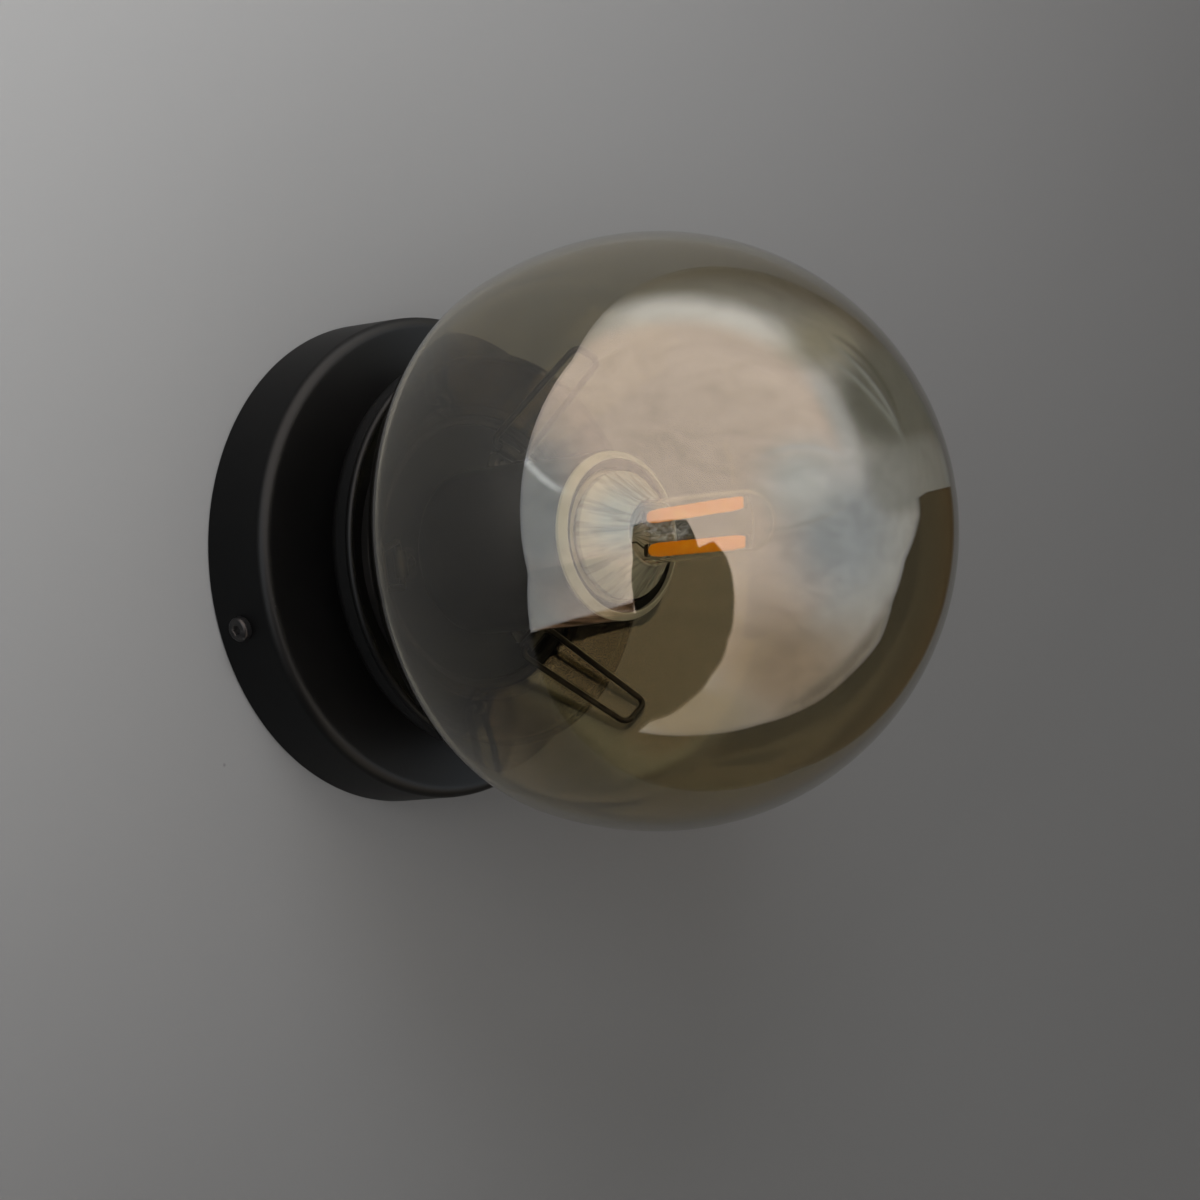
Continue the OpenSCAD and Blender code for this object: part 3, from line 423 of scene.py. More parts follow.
FINISH = {
    "black_coat": powder_coat(),
    "zinc_steel": worked(
        "zinc plated steel", (0.42, 0.43, 0.45), (0.52, 0.53, 0.54), (0.62, 0.63, 0.62), (0.24, 0.42),
        metal=1.0, patch=95.0, grain=1500.0, specks=(300.0, 0.10, (0.70, 0.70, 0.68)),
        worn=(0.52, 0.60, (0.75, 0.75, 0.74))),
    "tinned": worked(
        "tinned steel", (0.55, 0.55, 0.54), (0.66, 0.66, 0.65), (0.76, 0.76, 0.74), (0.18, 0.34), metal=1.0,
        patch=160.0, grain=1900.0, worn=(0.52, 0.60, (0.85, 0.85, 0.84))),
    "bulb_wire": worked(
        "dull nickel wire", (0.10, 0.10, 0.10), (0.15, 0.15, 0.145), (0.22, 0.215, 0.21), (0.34, 0.50),
        metal=1.0, patch=220.0, grain=2400.0, grain_mm=0.01, worn=(0.52, 0.60, (0.35, 0.34, 0.33))),
    "brass": worked(
        "drawn brass", (0.55, 0.38, 0.15), (0.68, 0.48, 0.20), (0.78, 0.58, 0.28), (0.20, 0.38), metal=1.0,
        stretch=(1, 0.25, 1), patch=150.0, grain=1600.0, worn=(0.52, 0.60, (0.88, 0.70, 0.40))),
    "black_oxide": worked(
        "black oxide steel", (0.012, 0.012, 0.013), (0.020, 0.020, 0.021), (0.034, 0.033, 0.032), (0.26, 0.42),
        metal=0.6, patch=260.0, grain=2600.0, gloss=0.15, worn=(0.52, 0.58, (0.07, 0.07, 0.07))),
    "spring_wire": worked(
        "blackened spring wire", (0.010, 0.010, 0.010), (0.018, 0.017, 0.017), (0.032, 0.031, 0.030),
        (0.26, 0.40), metal=0.5, patch=240.0, grain=2400.0, grain_mm=0.01, gloss=0.4,
        worn=(0.52, 0.58, (0.09, 0.09, 0.085))),
    "black_rubber": worked(
        "black rubber", (0.014, 0.014, 0.014), (0.020, 0.020, 0.020), (0.030, 0.029, 0.028), (0.55, 0.75),
        patch=130.0, grain=1300.0, grain_mm=0.03, strength=0.4, sheen=0.15,
        specks=(260.0, 0.09, (0.09, 0.085, 0.08))),
    "ivory_nylon": worked(
        "ivory nylon", (0.58, 0.53, 0.42), (0.68, 0.63, 0.51), (0.75, 0.71, 0.60), (0.34, 0.50),
        patch=140.0, grain=1100.0, grain_mm=0.03, specks=(220.0, 0.07, (0.42, 0.37, 0.28))),
    "white_enamel": worked(
        "white enamel", (0.60, 0.60, 0.59), (0.68, 0.69, 0.69), (0.75, 0.76, 0.77), (0.14, 0.28),
        patch=140.0, grain=1100.0, grain_mm=0.015, coat=0.3, specks=(260.0, 0.06, (0.40, 0.37, 0.31))),
    "silicone": worked(
        "black silicone", (0.010, 0.010, 0.010), (0.015, 0.015, 0.015), (0.022, 0.021, 0.021), (0.42, 0.58),
        patch=110.0, grain=900.0, gloss=0.12, specks=(240.0, 0.06, (0.05, 0.048, 0.045))),
    "brown_sleeve": worked("brown PVC sleeve", (0.10, 0.038, 0.014), (0.13, 0.052, 0.020), (0.17, 0.07, 0.028),
                           (0.30, 0.46), patch=190.0, grain=1400.0, coat=0.2),
    "blue_sleeve": worked("blue PVC sleeve", (0.012, 0.06, 0.24), (0.018, 0.085, 0.32), (0.03, 0.12, 0.40),
                          (0.30, 0.46), patch=190.0, grain=1400.0, coat=0.2),
    "green_sleeve": striped_sleeve(),
    "porcelain": porcelain_finish("glazed porcelain", (0.72, 0.69, 0.62), (0.82, 0.80, 0.75), (0.10, 0.22)),
    "white_ceramic": porcelain_finish("white ceramic with painted reflection streaks", (0.60, 0.63, 0.67), (0.66, 0.69, 0.73), (0.14, 0.26),
                                      streaks=0.9),
    "phosphor": phosphor_finish(),
    "smoke_glass": glass_finish("smoke glass", (0.57, 0.54, 0.43), (0.42, 0.37, 0.27), 1.52, 0.10,
                                (0.60, 0.55, 0.44)),
    "clear_glass": glass_finish("clear capsule glass", (0.995, 0.995, 0.995), (0.95, 0.965, 0.96), 1.14, 0.05,
                                (0.96, 0.97, 0.97)),
}


# Canopy, collar, dish and cup

def bore(near, far):
    """The edge of the nipple hole, from one face of the sheet to the other."""
    return eased([[8, near], [BORE_R, near], [BORE_R, far], [8, far]], [0, 0.25, 0.25, 0], 4)


def canopy_shell():
    """Pressed shell: the outline goes up the outer wall, round the front corner, in to the nipple hole, back
    along the inside, and ends in a folded edge at the wall."""
    inner_r, front, inside = CANOPY_R - SHEET, CANOPY_DEPTH, CANOPY_DEPTH - SHEET
    corner_r, corner_d = CANOPY_R - CANOPY_CORNER, CANOPY_DEPTH - CANOPY_CORNER
    outline = np.concatenate([
        eased([[inner_r, 4], [inner_r, 0.02], [CANOPY_R, 0.02], [CANOPY_R, 4]], [0, 0.3, 0.45, 0]),
        upright(CANOPY_R, 8, 13, corner_d - 0.6),
        bow((corner_r, corner_d), CANOPY_CORNER, 0, 90, 16),
        level(front, corner_r - 0.7, 48, 36, 24, 12),
        bore(front, inside),
        level(inside, 14, 30, 46, corner_r - 0.7),
        bow((corner_r, corner_d), CANOPY_CORNER - SHEET, 90, 0, 10),
        upright(inner_r, 13, 8),
    ])
    piece("canopy_shell", "sconce", "black_coat", "canopy", [(lathe(outline, 256), True)])


def collar_piece():
    """Turned tube between canopy and dish, its outer edges broken."""
    outline = eased(level(CANOPY_DEPTH, BORE_R, COLLAR_R) + level(DISH_BACK, COLLAR_R, BORE_R),
                    [0.2, 0.5, 0.5, 0.2], closed=True)
    piece("collar_tube", "sconce", "black_coat", "spacer_collar", [(lathe(outline, 128), True)])


def dish_shell():
    """Shallow pan: flat floor, a rounded back corner, a short wall and a rolled bead on its rim."""
    wall = DISH_R - BEAD_R + SHEET / 2
    corner = (wall - DISH_CORNER, DISH_BACK + DISH_CORNER)
    flat, neck = wall - DISH_CORNER - 1.2, DISH_FRONT - 2.6
    outline = np.concatenate([
        bore(DISH_FLOOR, DISH_BACK),
        level(DISH_BACK, 16, 26, 36, flat),
        bow(corner, DISH_CORNER, -90, 0, 16),
        [[wall, neck]],
        bow((DISH_R - BEAD_R, DISH_FRONT - BEAD_R), BEAD_R, -58, 238, 26),
        [[wall - SHEET, neck]],
        bow(corner, DISH_CORNER - SHEET, 0, -90, 14),
        level(DISH_FLOOR, flat, 36, 26, 16),
    ])
    piece("dish_pan", "sconce", "black_coat", "shade_dish", [(lathe(outline, 256), True)])


def cup_shell():
    """Deep-drawn cup: rounded floor corner, straight wall and a mouth turned in over the lampholder."""
    corner_r, inner = CUP_R - CUP_CORNER, CUP_CORNER - CUP_SHEET
    low, high = DISH_FLOOR + CUP_CORNER, CUP_FRONT - CUP_CORNER
    mouth = [[corner_r, CUP_FRONT], [CUP_LIP, CUP_FRONT], [CUP_LIP, CUP_FRONT - CUP_SHEET],
             [corner_r, CUP_FRONT - CUP_SHEET]]
    outline = np.concatenate([
        level(DISH_FLOOR, BORE_R, 9, corner_r - 0.6),
        bow((corner_r, low), CUP_CORNER, -90, 0, 10),
        upright(CUP_R, 36, 45, 58, 71, high - 0.5),
        bow((corner_r, high), CUP_CORNER, 0, 90, 12),
        eased(mouth, [0, 0.12, 0.12, 0], 4)[1:-1],
        bow((corner_r, high), inner, 90, 0, 6),
        upright(CUP_R - CUP_SHEET, high - 0.5, 60, 36.5),
        bow((corner_r, low), inner, 0, -90, 6),
        level(DISH_FLOOR + CUP_SHEET, 9, BORE_R),
    ])
    piece("cup_tube", "sconce", "black_coat", "lamp_cup", [(lathe(outline, 192), True)])


def mouth_ring():
    """White ring over the cup's mouth: a seat that follows the cup's corner, a crest and a wide bevel
    outside."""
    seat = bow((CUP_R - CUP_CORNER, CUP_FRONT - CUP_CORNER), CUP_CORNER + 0.05, 30, 90, 10)
    crest = [[CUP_R - 2, CUP_FRONT + 0.5], [CUP_R - 2, CUP_FRONT + 1.42], [CUP_R - 1.6, CUP_FRONT + 1.36],
             [CUP_R, CUP_FRONT - 0.1], [CUP_R, CUP_FRONT - 0.97]]
    outline = np.concatenate([seat, eased(crest, [0, 0.12, 0.2, 0.25, 0], 5)])
    piece("mouth_bezel", "sconce", "white_enamel", "mouth_ring", [(lathe(outline, 192), True)], sharp=50)


def gasket_ring():
    """Silicone ring: a flat bed under the glass edge, with a thin outer lip and two soft grooves in the
    bed."""
    top, lip = DISH_FLOOR + GASKET_BED, DISH_FLOOR + GASKET_LIP
    t = np.linspace(0, 1, 25)
    groove = 0.16 * np.sin(3 * np.pi * t) ** 2 * (t > 0.02) * (t < 0.98)
    bed = np.stack([GASKET_IN + 0.3 + 5.1 * t, top - groove], -1)
    outer = [[GASKET_IN + 0.2, top], [GASKET_IN, top - 0.1], [GASKET_IN, DISH_FLOOR], [GASKET_OUT, DISH_FLOOR],
             [GASKET_OUT, lip - 0.15], [GASKET_OUT - 0.4, lip], [GASKET_OUT - 0.85, lip - 0.2],
             [GASKET_OUT - 0.9, top]]
    outline = np.concatenate([eased(outer, [0, 0.1, 0.2, 0.2, 0.2, 0.15, 0.1, 0], 4), bed[::-1]])
    piece("gasket_bed", "sconce", "silicone", "glass_gasket", [(lathe(outline, 160), True)])


def side_screw(side):
    """Button-head screw: a domed head whose hexagon socket is a ring of radius a / cos((t mod 60) - 30), and
    a shank with a thread, a ridge that rises once a turn."""
    t = np.linspace(0, TAU, 72, endpoint=False)[None, :]
    hexagon = SOCKET_HALF / np.cos((t + TAU / 12) % (TAU / 6) - TAU / 12)
    socket_r = [hexagon * share for share in (0, 0.5, 0.97, 1, 1)] + [hexagon + 0.06, hexagon + 0.22]
    socket_d = [0.85, 0.93, 1.02, 1.15, 2.28, 2.36, 2.395]
    head = np.concatenate([eased([[2.05, 0.06], [SCREW_HEAD_R, 0.06], [SCREW_HEAD_R, 1.3]], [0, 0.15, 0], 4),
                           bow((SCREW_HEAD_R - 1.0, 1.4), 1.0, 0, 75, 8)])[::-1]
    down = np.linspace(0.05, 0.1 - SHANK_LEN, 90)[:, None]
    ridge = 0.5 + 0.5 * np.cos(TAU * (down / 0.7 - t / TAU))
    fade = np.clip((down + SHANK_LEN - 0.1) / 0.8, 0, 1) * np.clip(-down / 0.4, 0, 1)
    shank = 1.62 + 0.32 * ridge * fade + 0.31 * (1 - np.clip(-down / 0.3, 0, 1))
    tip = [[1.2, 0.05 - SHANK_LEN], [0.6, 0.01 - SHANK_LEN], [0.0, -SHANK_LEN]]
    r = np.concatenate([*socket_r, head[:, :1] + 0 * t, shank, np.array(tip)[:, :1] + 0 * t])
    d = np.concatenate([socket_d, head[:, 1], down[:, 0], np.array(tip)[:, 1]])[:, None]
    local = np.stack([side * (CANOPY_R + d) + 0 * t, r * np.cos(t), SIDE_SCREW_DEPTH + r * np.sin(t)], -1)
    return to_frame(about_axis(local, BRACKET_TURN))


def side_screw_pair():
    """The two screws that hold the canopy, one on each side."""
    piece("side_screw_pair", "sconce", "black_oxide", "side_screws",
          [(side_screw(1), False), (side_screw(-1), False)], sharp=38)


# Glass globe

def globe_outline(inset):
    """Outline of the blown glass, moved inwards: a sphere in front, a flatter arc behind the equator, a
    tighter shoulder and a straight back, set together at equal angles."""
    flank_r = GLASS_R - FLANK_R
    turn = np.degrees(np.arcsin(FLANK_LEN / FLANK_R))
    shoulder_r = flank_r + (FLANK_R - SHOULDER_R) * np.cos(np.radians(turn))
    shoulder_d = GLASS_CENTRE - (FLANK_R - SHOULDER_R) * np.sin(np.radians(turn))
    front = bow((0, GLASS_CENTRE), GLASS_R - inset, 90, 0, 84)
    flank = bow((flank_r, GLASS_CENTRE), FLANK_R - inset, 0, -turn, 14)[1:]
    bend = bow((shoulder_r, shoulder_d), SHOULDER_R - inset, -turn, -BACK_SLOPE, 16)[1:]
    run = bend[-1, 1] - GLASS_EDGE
    back = bend[-1] - np.linspace(0, 1, 7)[1:, None] * [run * np.tan(np.radians(BACK_SLOPE)), run]
    return np.concatenate([front, flank, bend, back])


def globe_glass():
    """One closed surface: the outer line from the front pole to the edge, a fire-polished round edge, and the
    inner line back to the pole. The radius carries slow waves of a few hundredths, as blown glass has."""
    outer, inner = globe_outline(0.0), globe_outline(GLASS_WALL)
    edge = eased([outer[-2], outer[-1], inner[-1], inner[-2]], [0, 0.55, 0.55, 0], 6)[1:-1]

    def waves(t, r, d):
        size = 0.03 * np.clip((GLASS_CENTRE + 70 - d) / 40, 0, 1) * np.clip((d - 40) / 12, 0, 1) * (r > 1)
        return -size * (1 + np.sin(2 * t + d / 21) * np.cos(t - d / 33)) * 0.5

    outline = np.concatenate([outer[:-1], edge, inner[-2::-1]])
    piece("globe_glass", "globe", "smoke_glass", "glass_globe", [(lathe(outline, 224, waves), False)])


# Spring clips

def clip_wire(letter, turn):
    """One wire from knuckle to knuckle: the path is a flat loop whose corners are arcs, laid in the leaning
    plane and turned about the lamp axis. The wire thins a little at its sawn ends."""
    corners = [[0, 0.35], [0, CLIP_FOOT], [CLIP_LEN, CLIP_TIP]]
    corners += [[x, -y] for x, y in reversed(corners)]
    loop = eased(corners, [0] + [WIRE_BEND] * 4 + [0], 12)
    s = np.concatenate([[0], np.cumsum(np.linalg.norm(np.diff(loop, axis=0), axis=1))])
    even = np.linspace(0, s[-1], 360)
    x, y = np.interp(even, s, loop[:, 0]), np.interp(even, s, loop[:, 1])
    lean = np.radians(90 - CLIP_LEAN)
    path = np.stack([PIVOT_RHO + x * np.cos(lean), y, PIVOT_DEPTH + x * np.sin(lean)], -1)
    bevel = np.clip(np.minimum(even, s[-1] - even) / 0.25, 0, 1)
    half = WIRE_R * (0.8 + 0.2 * np.sqrt(bevel)) * (1 - 0.008 * (1 + np.sin(even * 2.1)))
    tube = capped(path, sweep(path, half[:, None], 20, (-np.sin(lean), 0, np.cos(lean))))
    piece("clip_wire_loop_" + letter, "clip_" + letter, "spring_wire", "clip_wire_" + letter,
          [(to_frame(about_axis(tube, turn)), False)], sharp=50)


# Bulb

def capsule():
    """Clear capsule: a tube with a domed end, closed at its foot."""
    r, inner_r, dome = CAPSULE_R, CAPSULE_R - CAPSULE_WALL, CAPSULE_TIP - CAPSULE_R
    outline = np.concatenate([
        [[r - 0.3, CAPSULE_BACK]],
        upright(r, CAPSULE_BACK + 0.4, 96, 104, 112, 120, dome - 0.6),
        bow((0, dome), r, 0, 90, 36),
        bow((0, dome), inner_r, 90, 0, 30),
        upright(inner_r, 120, 104, 96),
        [[inner_r - 0.5, CAPSULE_BACK + 1.2], [inner_r - 0.2, CAPSULE_BACK + 0.1]],
    ])
    piece("capsule_glass", "bulb", "clear_glass", "bulb_glass", [(lathe(outline, 128), True)])


def ceramic_collar():
    """Ceramic collar: a plug, a wide flange and a fluted cone. The flutes are shallow waves round the cone
    that fade out towards its two ends."""
    plug = [[6, COLLAR_SEAT], [PLUG_R, COLLAR_SEAT], [PLUG_R, 77], [12.6, 82.2], [13.2, 85.55],
            [FLANGE_R, 85.6], [FLANGE_R, 87.25], [FLANGE_R - 1.3, 88.8]]
    outline = np.concatenate([
        [[0, COLLAR_SEAT]],
        eased(plug, [0, 0.5, 1.0, 0.6, 0.3, 0.5, 0.5, 0], 6),
        along([FLANGE_R - 1.4, 88.92], [CAPSULE_R + 0.87, COLLAR_TOP - 0.85], 34),
        bow((CAPSULE_R + 0.45, COLLAR_TOP - 0.45), 0.4, 20, 160, 6),
        upright(CAPSULE_R + 0.06, COLLAR_TOP - 1.2, CAPSULE_BACK - 0.1),
        [[0, CAPSULE_BACK - 0.1]],
    ])

    def flutes(t, r, d):
        size = 0.28 * np.clip((d - 88.9) / 1.2, 0, 1) * np.clip((COLLAR_TOP - 1.6 - d) / 2.0, 0, 1) * (r > 8.3)
        return -size * (0.5 - 0.5 * np.cos(FLUTES * t)) ** 2

    piece("ceramic_collar", "bulb", "white_ceramic", "bulb_collar", [(lathe(outline, 384, flutes), False)])


def filament_line(side):
    """Foot and far end of a filament's coated strip. The two strips lean a little apart."""
    lean = np.radians(0.5 + side * 1.3)
    foot = np.array([-side * 0.4, -0.45 + side * 4.1, FILAMENT_FOOT])
    return foot, foot + FILAMENT_LEN * np.array([0, np.sin(lean), np.cos(lean)])


def filament_strip(side, place):
    """Coated strip: a squared oval section carried from foot to end, its thickness swelling in slow drops of
    the silicone and closing round at both ends."""
    a, b = filament_line(side)
    s = np.linspace(0, 1, 160)
    close = np.sqrt(np.clip(1 - (2 * s - 1) ** 14, 0, 1))
    drops = 1 + 0.05 * np.sin(s * 41 + side) + 0.03 * np.sin(s * 97)
    half = np.stack([close * drops, close * (1 + 0.02 * np.sin(s * 60))], -1) * FILAMENT_HALF
    strip = sweep(along(a + (b - a) * 0.02, b - (b - a) * 0.02, 160), half, 24, (0, 1, 0.1), lobes=2.6)
    piece("filament_strip_" + place, "bulb", "phosphor", "filament_" + place, [(to_frame(strip), False)])


def filament_metal():
    """Dull metal: a flat tab at each end of both strips, two support wires with a bend, and the bridge
    between the far ends. Each is a section carried along its own path."""
    grids, ends = [], []
    tab = np.stack([np.full(8, 0.44), np.interp(np.arange(8), [0, 1, 6, 7], [1.5, 1.72, 1.6, 1.1])], -1)
    for side in (1, -1):
        a, b = filament_line(side)
        way = (b - a) / np.linalg.norm(b - a)
        for spot, out in ((a, -way), (b, way)):
            grids.append(sweep(along(spot - out * 0.9, spot + out * 0.45, 8), tab, 16, (0, 1, 0.1), lobes=5))
        bend = (np.array([0, side * 2.3, 91.6]) + a) / 2 + [0, 0, 0.1]
        route = [[0, side * 2.2, 89.25], [0, side * 2.2, 90.4], [0, side * 2.25, 91.4], bend, a + way * 0.3]
        grids.append(sweep(smooth_route(route, 10), SUPPORT_R, 12, (1, 0.2, 0.1)))
        ends.append(b + way * 0.2)
    top = (ends[0] + ends[1]) / 2 + [0, 0, 1.3]
    route = [ends[0], ends[0] + [0, -0.6, 0.75], top + [0, 1.2, 0], top, top + [0, -1.2, 0],
             ends[1] + [0, 0.6, 0.75], ends[1]]
    grids.append(sweep(smooth_route(route, 10), SUPPORT_R, 12, (1, 0, 0.1)))
    piece("filament_metal", "bulb", "tinned", "filament_wires", [(to_frame(grid), False) for grid in grids],
          finish="bulb_wire", sharp=45)


# Nipple and leads

def nipple_ends():
    """Depth of the nipple's two ends, in millimetres."""
    low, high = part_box("nipple")
    return -high.y / MM, -low.y / MM


def threaded_nipple():
    """Hollow rod with a thread: a ridge on the outer radius that climbs 1 mm a turn."""
    back, front = nipple_ends()
    t = np.linspace(0, TAU, 64, endpoint=False)[None, :]
    run = np.linspace(back + 0.5, front - 0.5, 330)
    saw = 1 - np.abs(2 * ((run[:, None] - t / TAU) % 1.0) - 1)
    thread = THREAD_R + THREAD_RISE * np.clip(saw * 1.35 - 0.1, 0, 1)
    end_r = np.array([NIPPLE_BORE, NIPPLE_BORE + 0.1, 4.4, 4.55])[:, None] + 0 * t
    end_d = np.array([0.15, 0, 0, 0.3])
    r = np.concatenate([end_r, thread, end_r[::-1]])
    d = np.concatenate([back + end_d, run, front - end_d[::-1]])[:, None] + 0 * t
    grid = to_frame(np.stack([r * np.cos(t), r * np.sin(t), d], -1))
    piece("threaded_nipple", "sconce", "brass", "nipple", [(grid, True)], sharp=50)


def turned(x, y, depth):
    """A point of the wall side, which is turned with the bracket."""
    return about_axis(np.array([x, y, depth], float), BRACKET_TURN)


LEAD_ASIDE = (0.62, 0.78, 0.08)


def lead(name, slot, points):
    """A sleeved lead: a round tube along its smooth route. Gives the piece and its path."""
    path = smooth_route(points, 9)
    tube = capped(path, sweep(path, LEAD_R, 20, LEAD_ASIDE))
    return piece(name + "_sleeve", "sconce", slot, name, [(to_frame(tube), False)]), path


def wrap_map(obj, path):
    """The place of each corner round the tube and along it: the bearing of its offset from the nearest point
    of the path, and that point's number."""
    mesh = obj.data
    spots = np.zeros(len(mesh.vertices) * 3)
    mesh.vertices.foreach_get("co", spots)
    spots = spots.reshape(-1, 3) / MM
    local = np.stack([spots[:, 0], spots[:, 2], -spots[:, 1]], -1)
    near = np.argmin(((local[:, None] - path[None]) ** 2).sum(-1), 1)
    across, up = across_and_up(path, LEAD_ASIDE)
    off = local - path[near]
    bearing = (np.arctan2((off * up[near]).sum(1), (off * across[near]).sum(1)) / TAU) % 1.0
    corners = np.zeros(len(mesh.loops), np.int32)
    mesh.loops.foreach_get("vertex_index", corners)
    places = np.stack([bearing[corners], near[corners] / len(path)], -1)
    mesh.uv_layers.new(name="wrap").data.foreach_set("uv", places.ravel())


def all_leads():
    """Live and neutral from the lampholder through the nipple to the block, and earth from its tag to the
    block."""
    back, front = nipple_ends()
    for side, name, slot in ((-1, "live_lead", "brown_sleeve"), (1, "neutral_lead", "blue_sleeve")):
        lead(name, slot, [
            [side * 4.5, 0, 56.3], [side * 4.5, 0, 53], [side * 3.6, 0, 48], [side * 1.3, 0, front + 1],
            [side * 1.3, 0, front - 6], [side * 1.3, 0, back + 9], [side * 1.3, 0, back + 1.5],
            turned(side * 1.6, -2.2, back - 2.2), turned(side * 3.6, -8, 8.6), turned(side * 7.6, -18, 8.2),
            turned(side * 9, -25, 8), turned(side * 9, -29, 8), turned(side * 9, -34.4, 8)])
    barrel = CANOPY_DEPTH - SHEET - 1.6
    wrap_map(*lead("earth_lead", "green_sleeve", [
        turned(0, -16.1, barrel), turned(0, -18.2, barrel), turned(0, -21.6, barrel - 1.6),
        turned(0, -23.4, barrel - 5), turned(0, -25, 8.8), turned(0, -28.6, 8), turned(0, -34.4, 8)]))


# Hardware that keeps its CAD shape

CARRIED = {
    "zinc_steel": ("wall_bracket", "canopy_nut", "canopy_washer", "cup_washer", "cup_nut", "lampholder_strap"),
    "black_rubber": ("cable_grommet",),
    "brass": ("earth_screw", "earth_washer", "terminal_tubes", "pin_contacts"),
    "ivory_nylon": ("terminal_block",),
    "tinned": ("terminal_screws", "block_screws", "earth_tag", "lampholder_screws", "bulb_pins"),
    "porcelain": ("lampholder",),
    "black_oxide": ("clip_leaf_a", "clip_leaf_b", "clip_leaf_c", "clip_rivets"),
}
EASE = {"wall_bracket": 0.25, "terminal_block": 0.25, "canopy_nut": 0.25, "cup_nut": 0.25,
        "lampholder_strap": 0.15, "lampholder": 0.12, "earth_washer": 0.12, "canopy_washer": 0.12,
        "earth_tag": 0.1, "clip_leaf_a": 0.08, "clip_leaf_b": 0.08, "clip_leaf_c": 0.08}


def carry_over():
    """Each carried node gets its finish. Sheet and block parts get their loose triangles welded and a small
    bevel."""
    for finish, names in CARRIED.items():
        for name in names:
            NODES[name].data.materials.clear()
            NODES[name].data.materials.append(FINISH[finish])
    for name, width in EASE.items():
        weld = NODES[name].modifiers.new("weld", "WELD")
        weld.merge_threshold = 1e-6
        ease = NODES[name].modifiers.new("ease", "BEVEL")
        ease.width = width * MM
        ease.segments = 2
        ease.limit_method = "ANGLE"
        ease.angle_limit = np.radians(40)
        ease.use_clamp_overlap = True


# Studio

WALL_CORNERS = ((-0.79, -0.28), (-0.79, 1.15), (0.50, -0.41), (0.50, 0.50))
WALL_GAP, WALL_OPENING, FLOOR_Z = 0.0003, 0.058, -0.9
LAMP_AIM, CAMERA_AIM, CAMERA_DISTANCE = (0.0, -0.08, 0.0), (0.0, -0.078125, 0.0), 1.4729
VIEW_AXIS = (-0.70700, -0.69535, -0.12897)
VIEW_RIGHT = (0.70011, -0.71394, 0.01132)
VIEW_UP = (-0.09995, -0.08229, 0.99158)


def sheet(name, finish, x, y, z):
    """A flat sheet of the surroundings, its face towards the lamp."""
    grid = np.stack(np.broadcast_arrays(x, y, z), -1)
    mesh = bpy.data.meshes.new(name)
    quads = weave(*grid.shape[:2], False, False)[:, ::-1]
    mesh.from_pydata(grid.reshape(-1, 3).tolist(), [], quads.tolist())
    mesh.materials.append(finish)
    obj = bpy.data.objects.new(name, mesh)
    bpy.context.scene.collection.objects.link(obj)
    return obj


def studio_wall():
    """Wall paint behind the lamp: grey with painted light in it, lightest at the upper left and darker with
    the distance from there, a fine roller texture and a few tiny flecks. Seen from behind it isn't there, so
    that the lamp's back shows, and the round part of it that the canopy covers is open, so that light reaches
    the pieces inside."""
    made, tree, bsdf, spot = blank("grey wall paint with painted light falloff")
    # Painted light: the grey falls off with the distance from a point at the upper left, standing in for how
    # the light falls on the wall.
    reach = spread(tree, vector(tree, "DISTANCE", spot, (-0.60, 0.0, 0.85)), 0.80, 1.40, 0.0, 1.0)
    grey = ramp(tree, reach, *greys((0.0, 0.40), (0.12, 0.335), (0.23, 0.277), (0.345, 0.223), (0.46, 0.177),
                                    (0.58, 0.140), (0.70, 0.115), (0.90, 0.100)))
    grey = blend(tree, flecks(tree, spot, 28.0, 0.022, 0.014, 11.0, 0.55, 0.58, 0.5), grey, (0.05, 0.05, 0.05))
    feed(tree, bsdf, Base_Color=grey, Roughness=0.9, IOR=1.2)
    roller, plaster = noise(tree, spot, 900.0, 3.0, 0.6), noise(tree, spot, 180.0, 2.0)
    bumped(tree, bsdf, (roller, 0.03, 0.5), (plaster, 0.05, 0.4))
    covered = math(tree, "LESS_THAN", vector(tree, "DISTANCE", spot, (0.0, 0.0, 0.0)), WALL_OPENING)
    behind = put(tree, "NewGeometry").outputs["Backfacing"]
    clear_where(tree, math(tree, "MAXIMUM", behind, covered), bsdf)
    a, b = np.meshgrid(np.linspace(0, 1, 12), np.linspace(0, 1, 12), indexing="ij")
    (left, left_low), (_, left_high), (right, right_low), (_, right_high) = WALL_CORNERS
    low, high = left_low + (right_low - left_low) * a, left_high + (right_high - left_high) * a
    wall = sheet("studio_wall", made, left + (right - left) * a, WALL_GAP, low * (1 - b) + high * b)


def studio_floor():
    """Plain pale floor well below the lamp. Glossy rays pass it, so that the globe shows the tent, and from
    below it isn't there."""
    made, tree, bsdf, spot = blank("pale floor")
    pale = ramp(tree, noise(tree, spot, 2.0), (0.3, (0.76, 0.76, 0.75)), (0.7, (0.80, 0.80, 0.79)))
    feed(tree, bsdf, Base_Color=pale, Roughness=0.7)
    behind = put(tree, "NewGeometry").outputs["Backfacing"]
    clear_where(tree, math(tree, "MAXIMUM", put(tree, "LightPath").outputs["Is Glossy Ray"], behind), bsdf)
    x, y = np.meshgrid(np.linspace(-2.5, 2.5, 8), np.linspace(-3.5, 1.5, 8), indexing="ij")
    floor = sheet("studio_floor", made, x, y, FLOOR_Z)


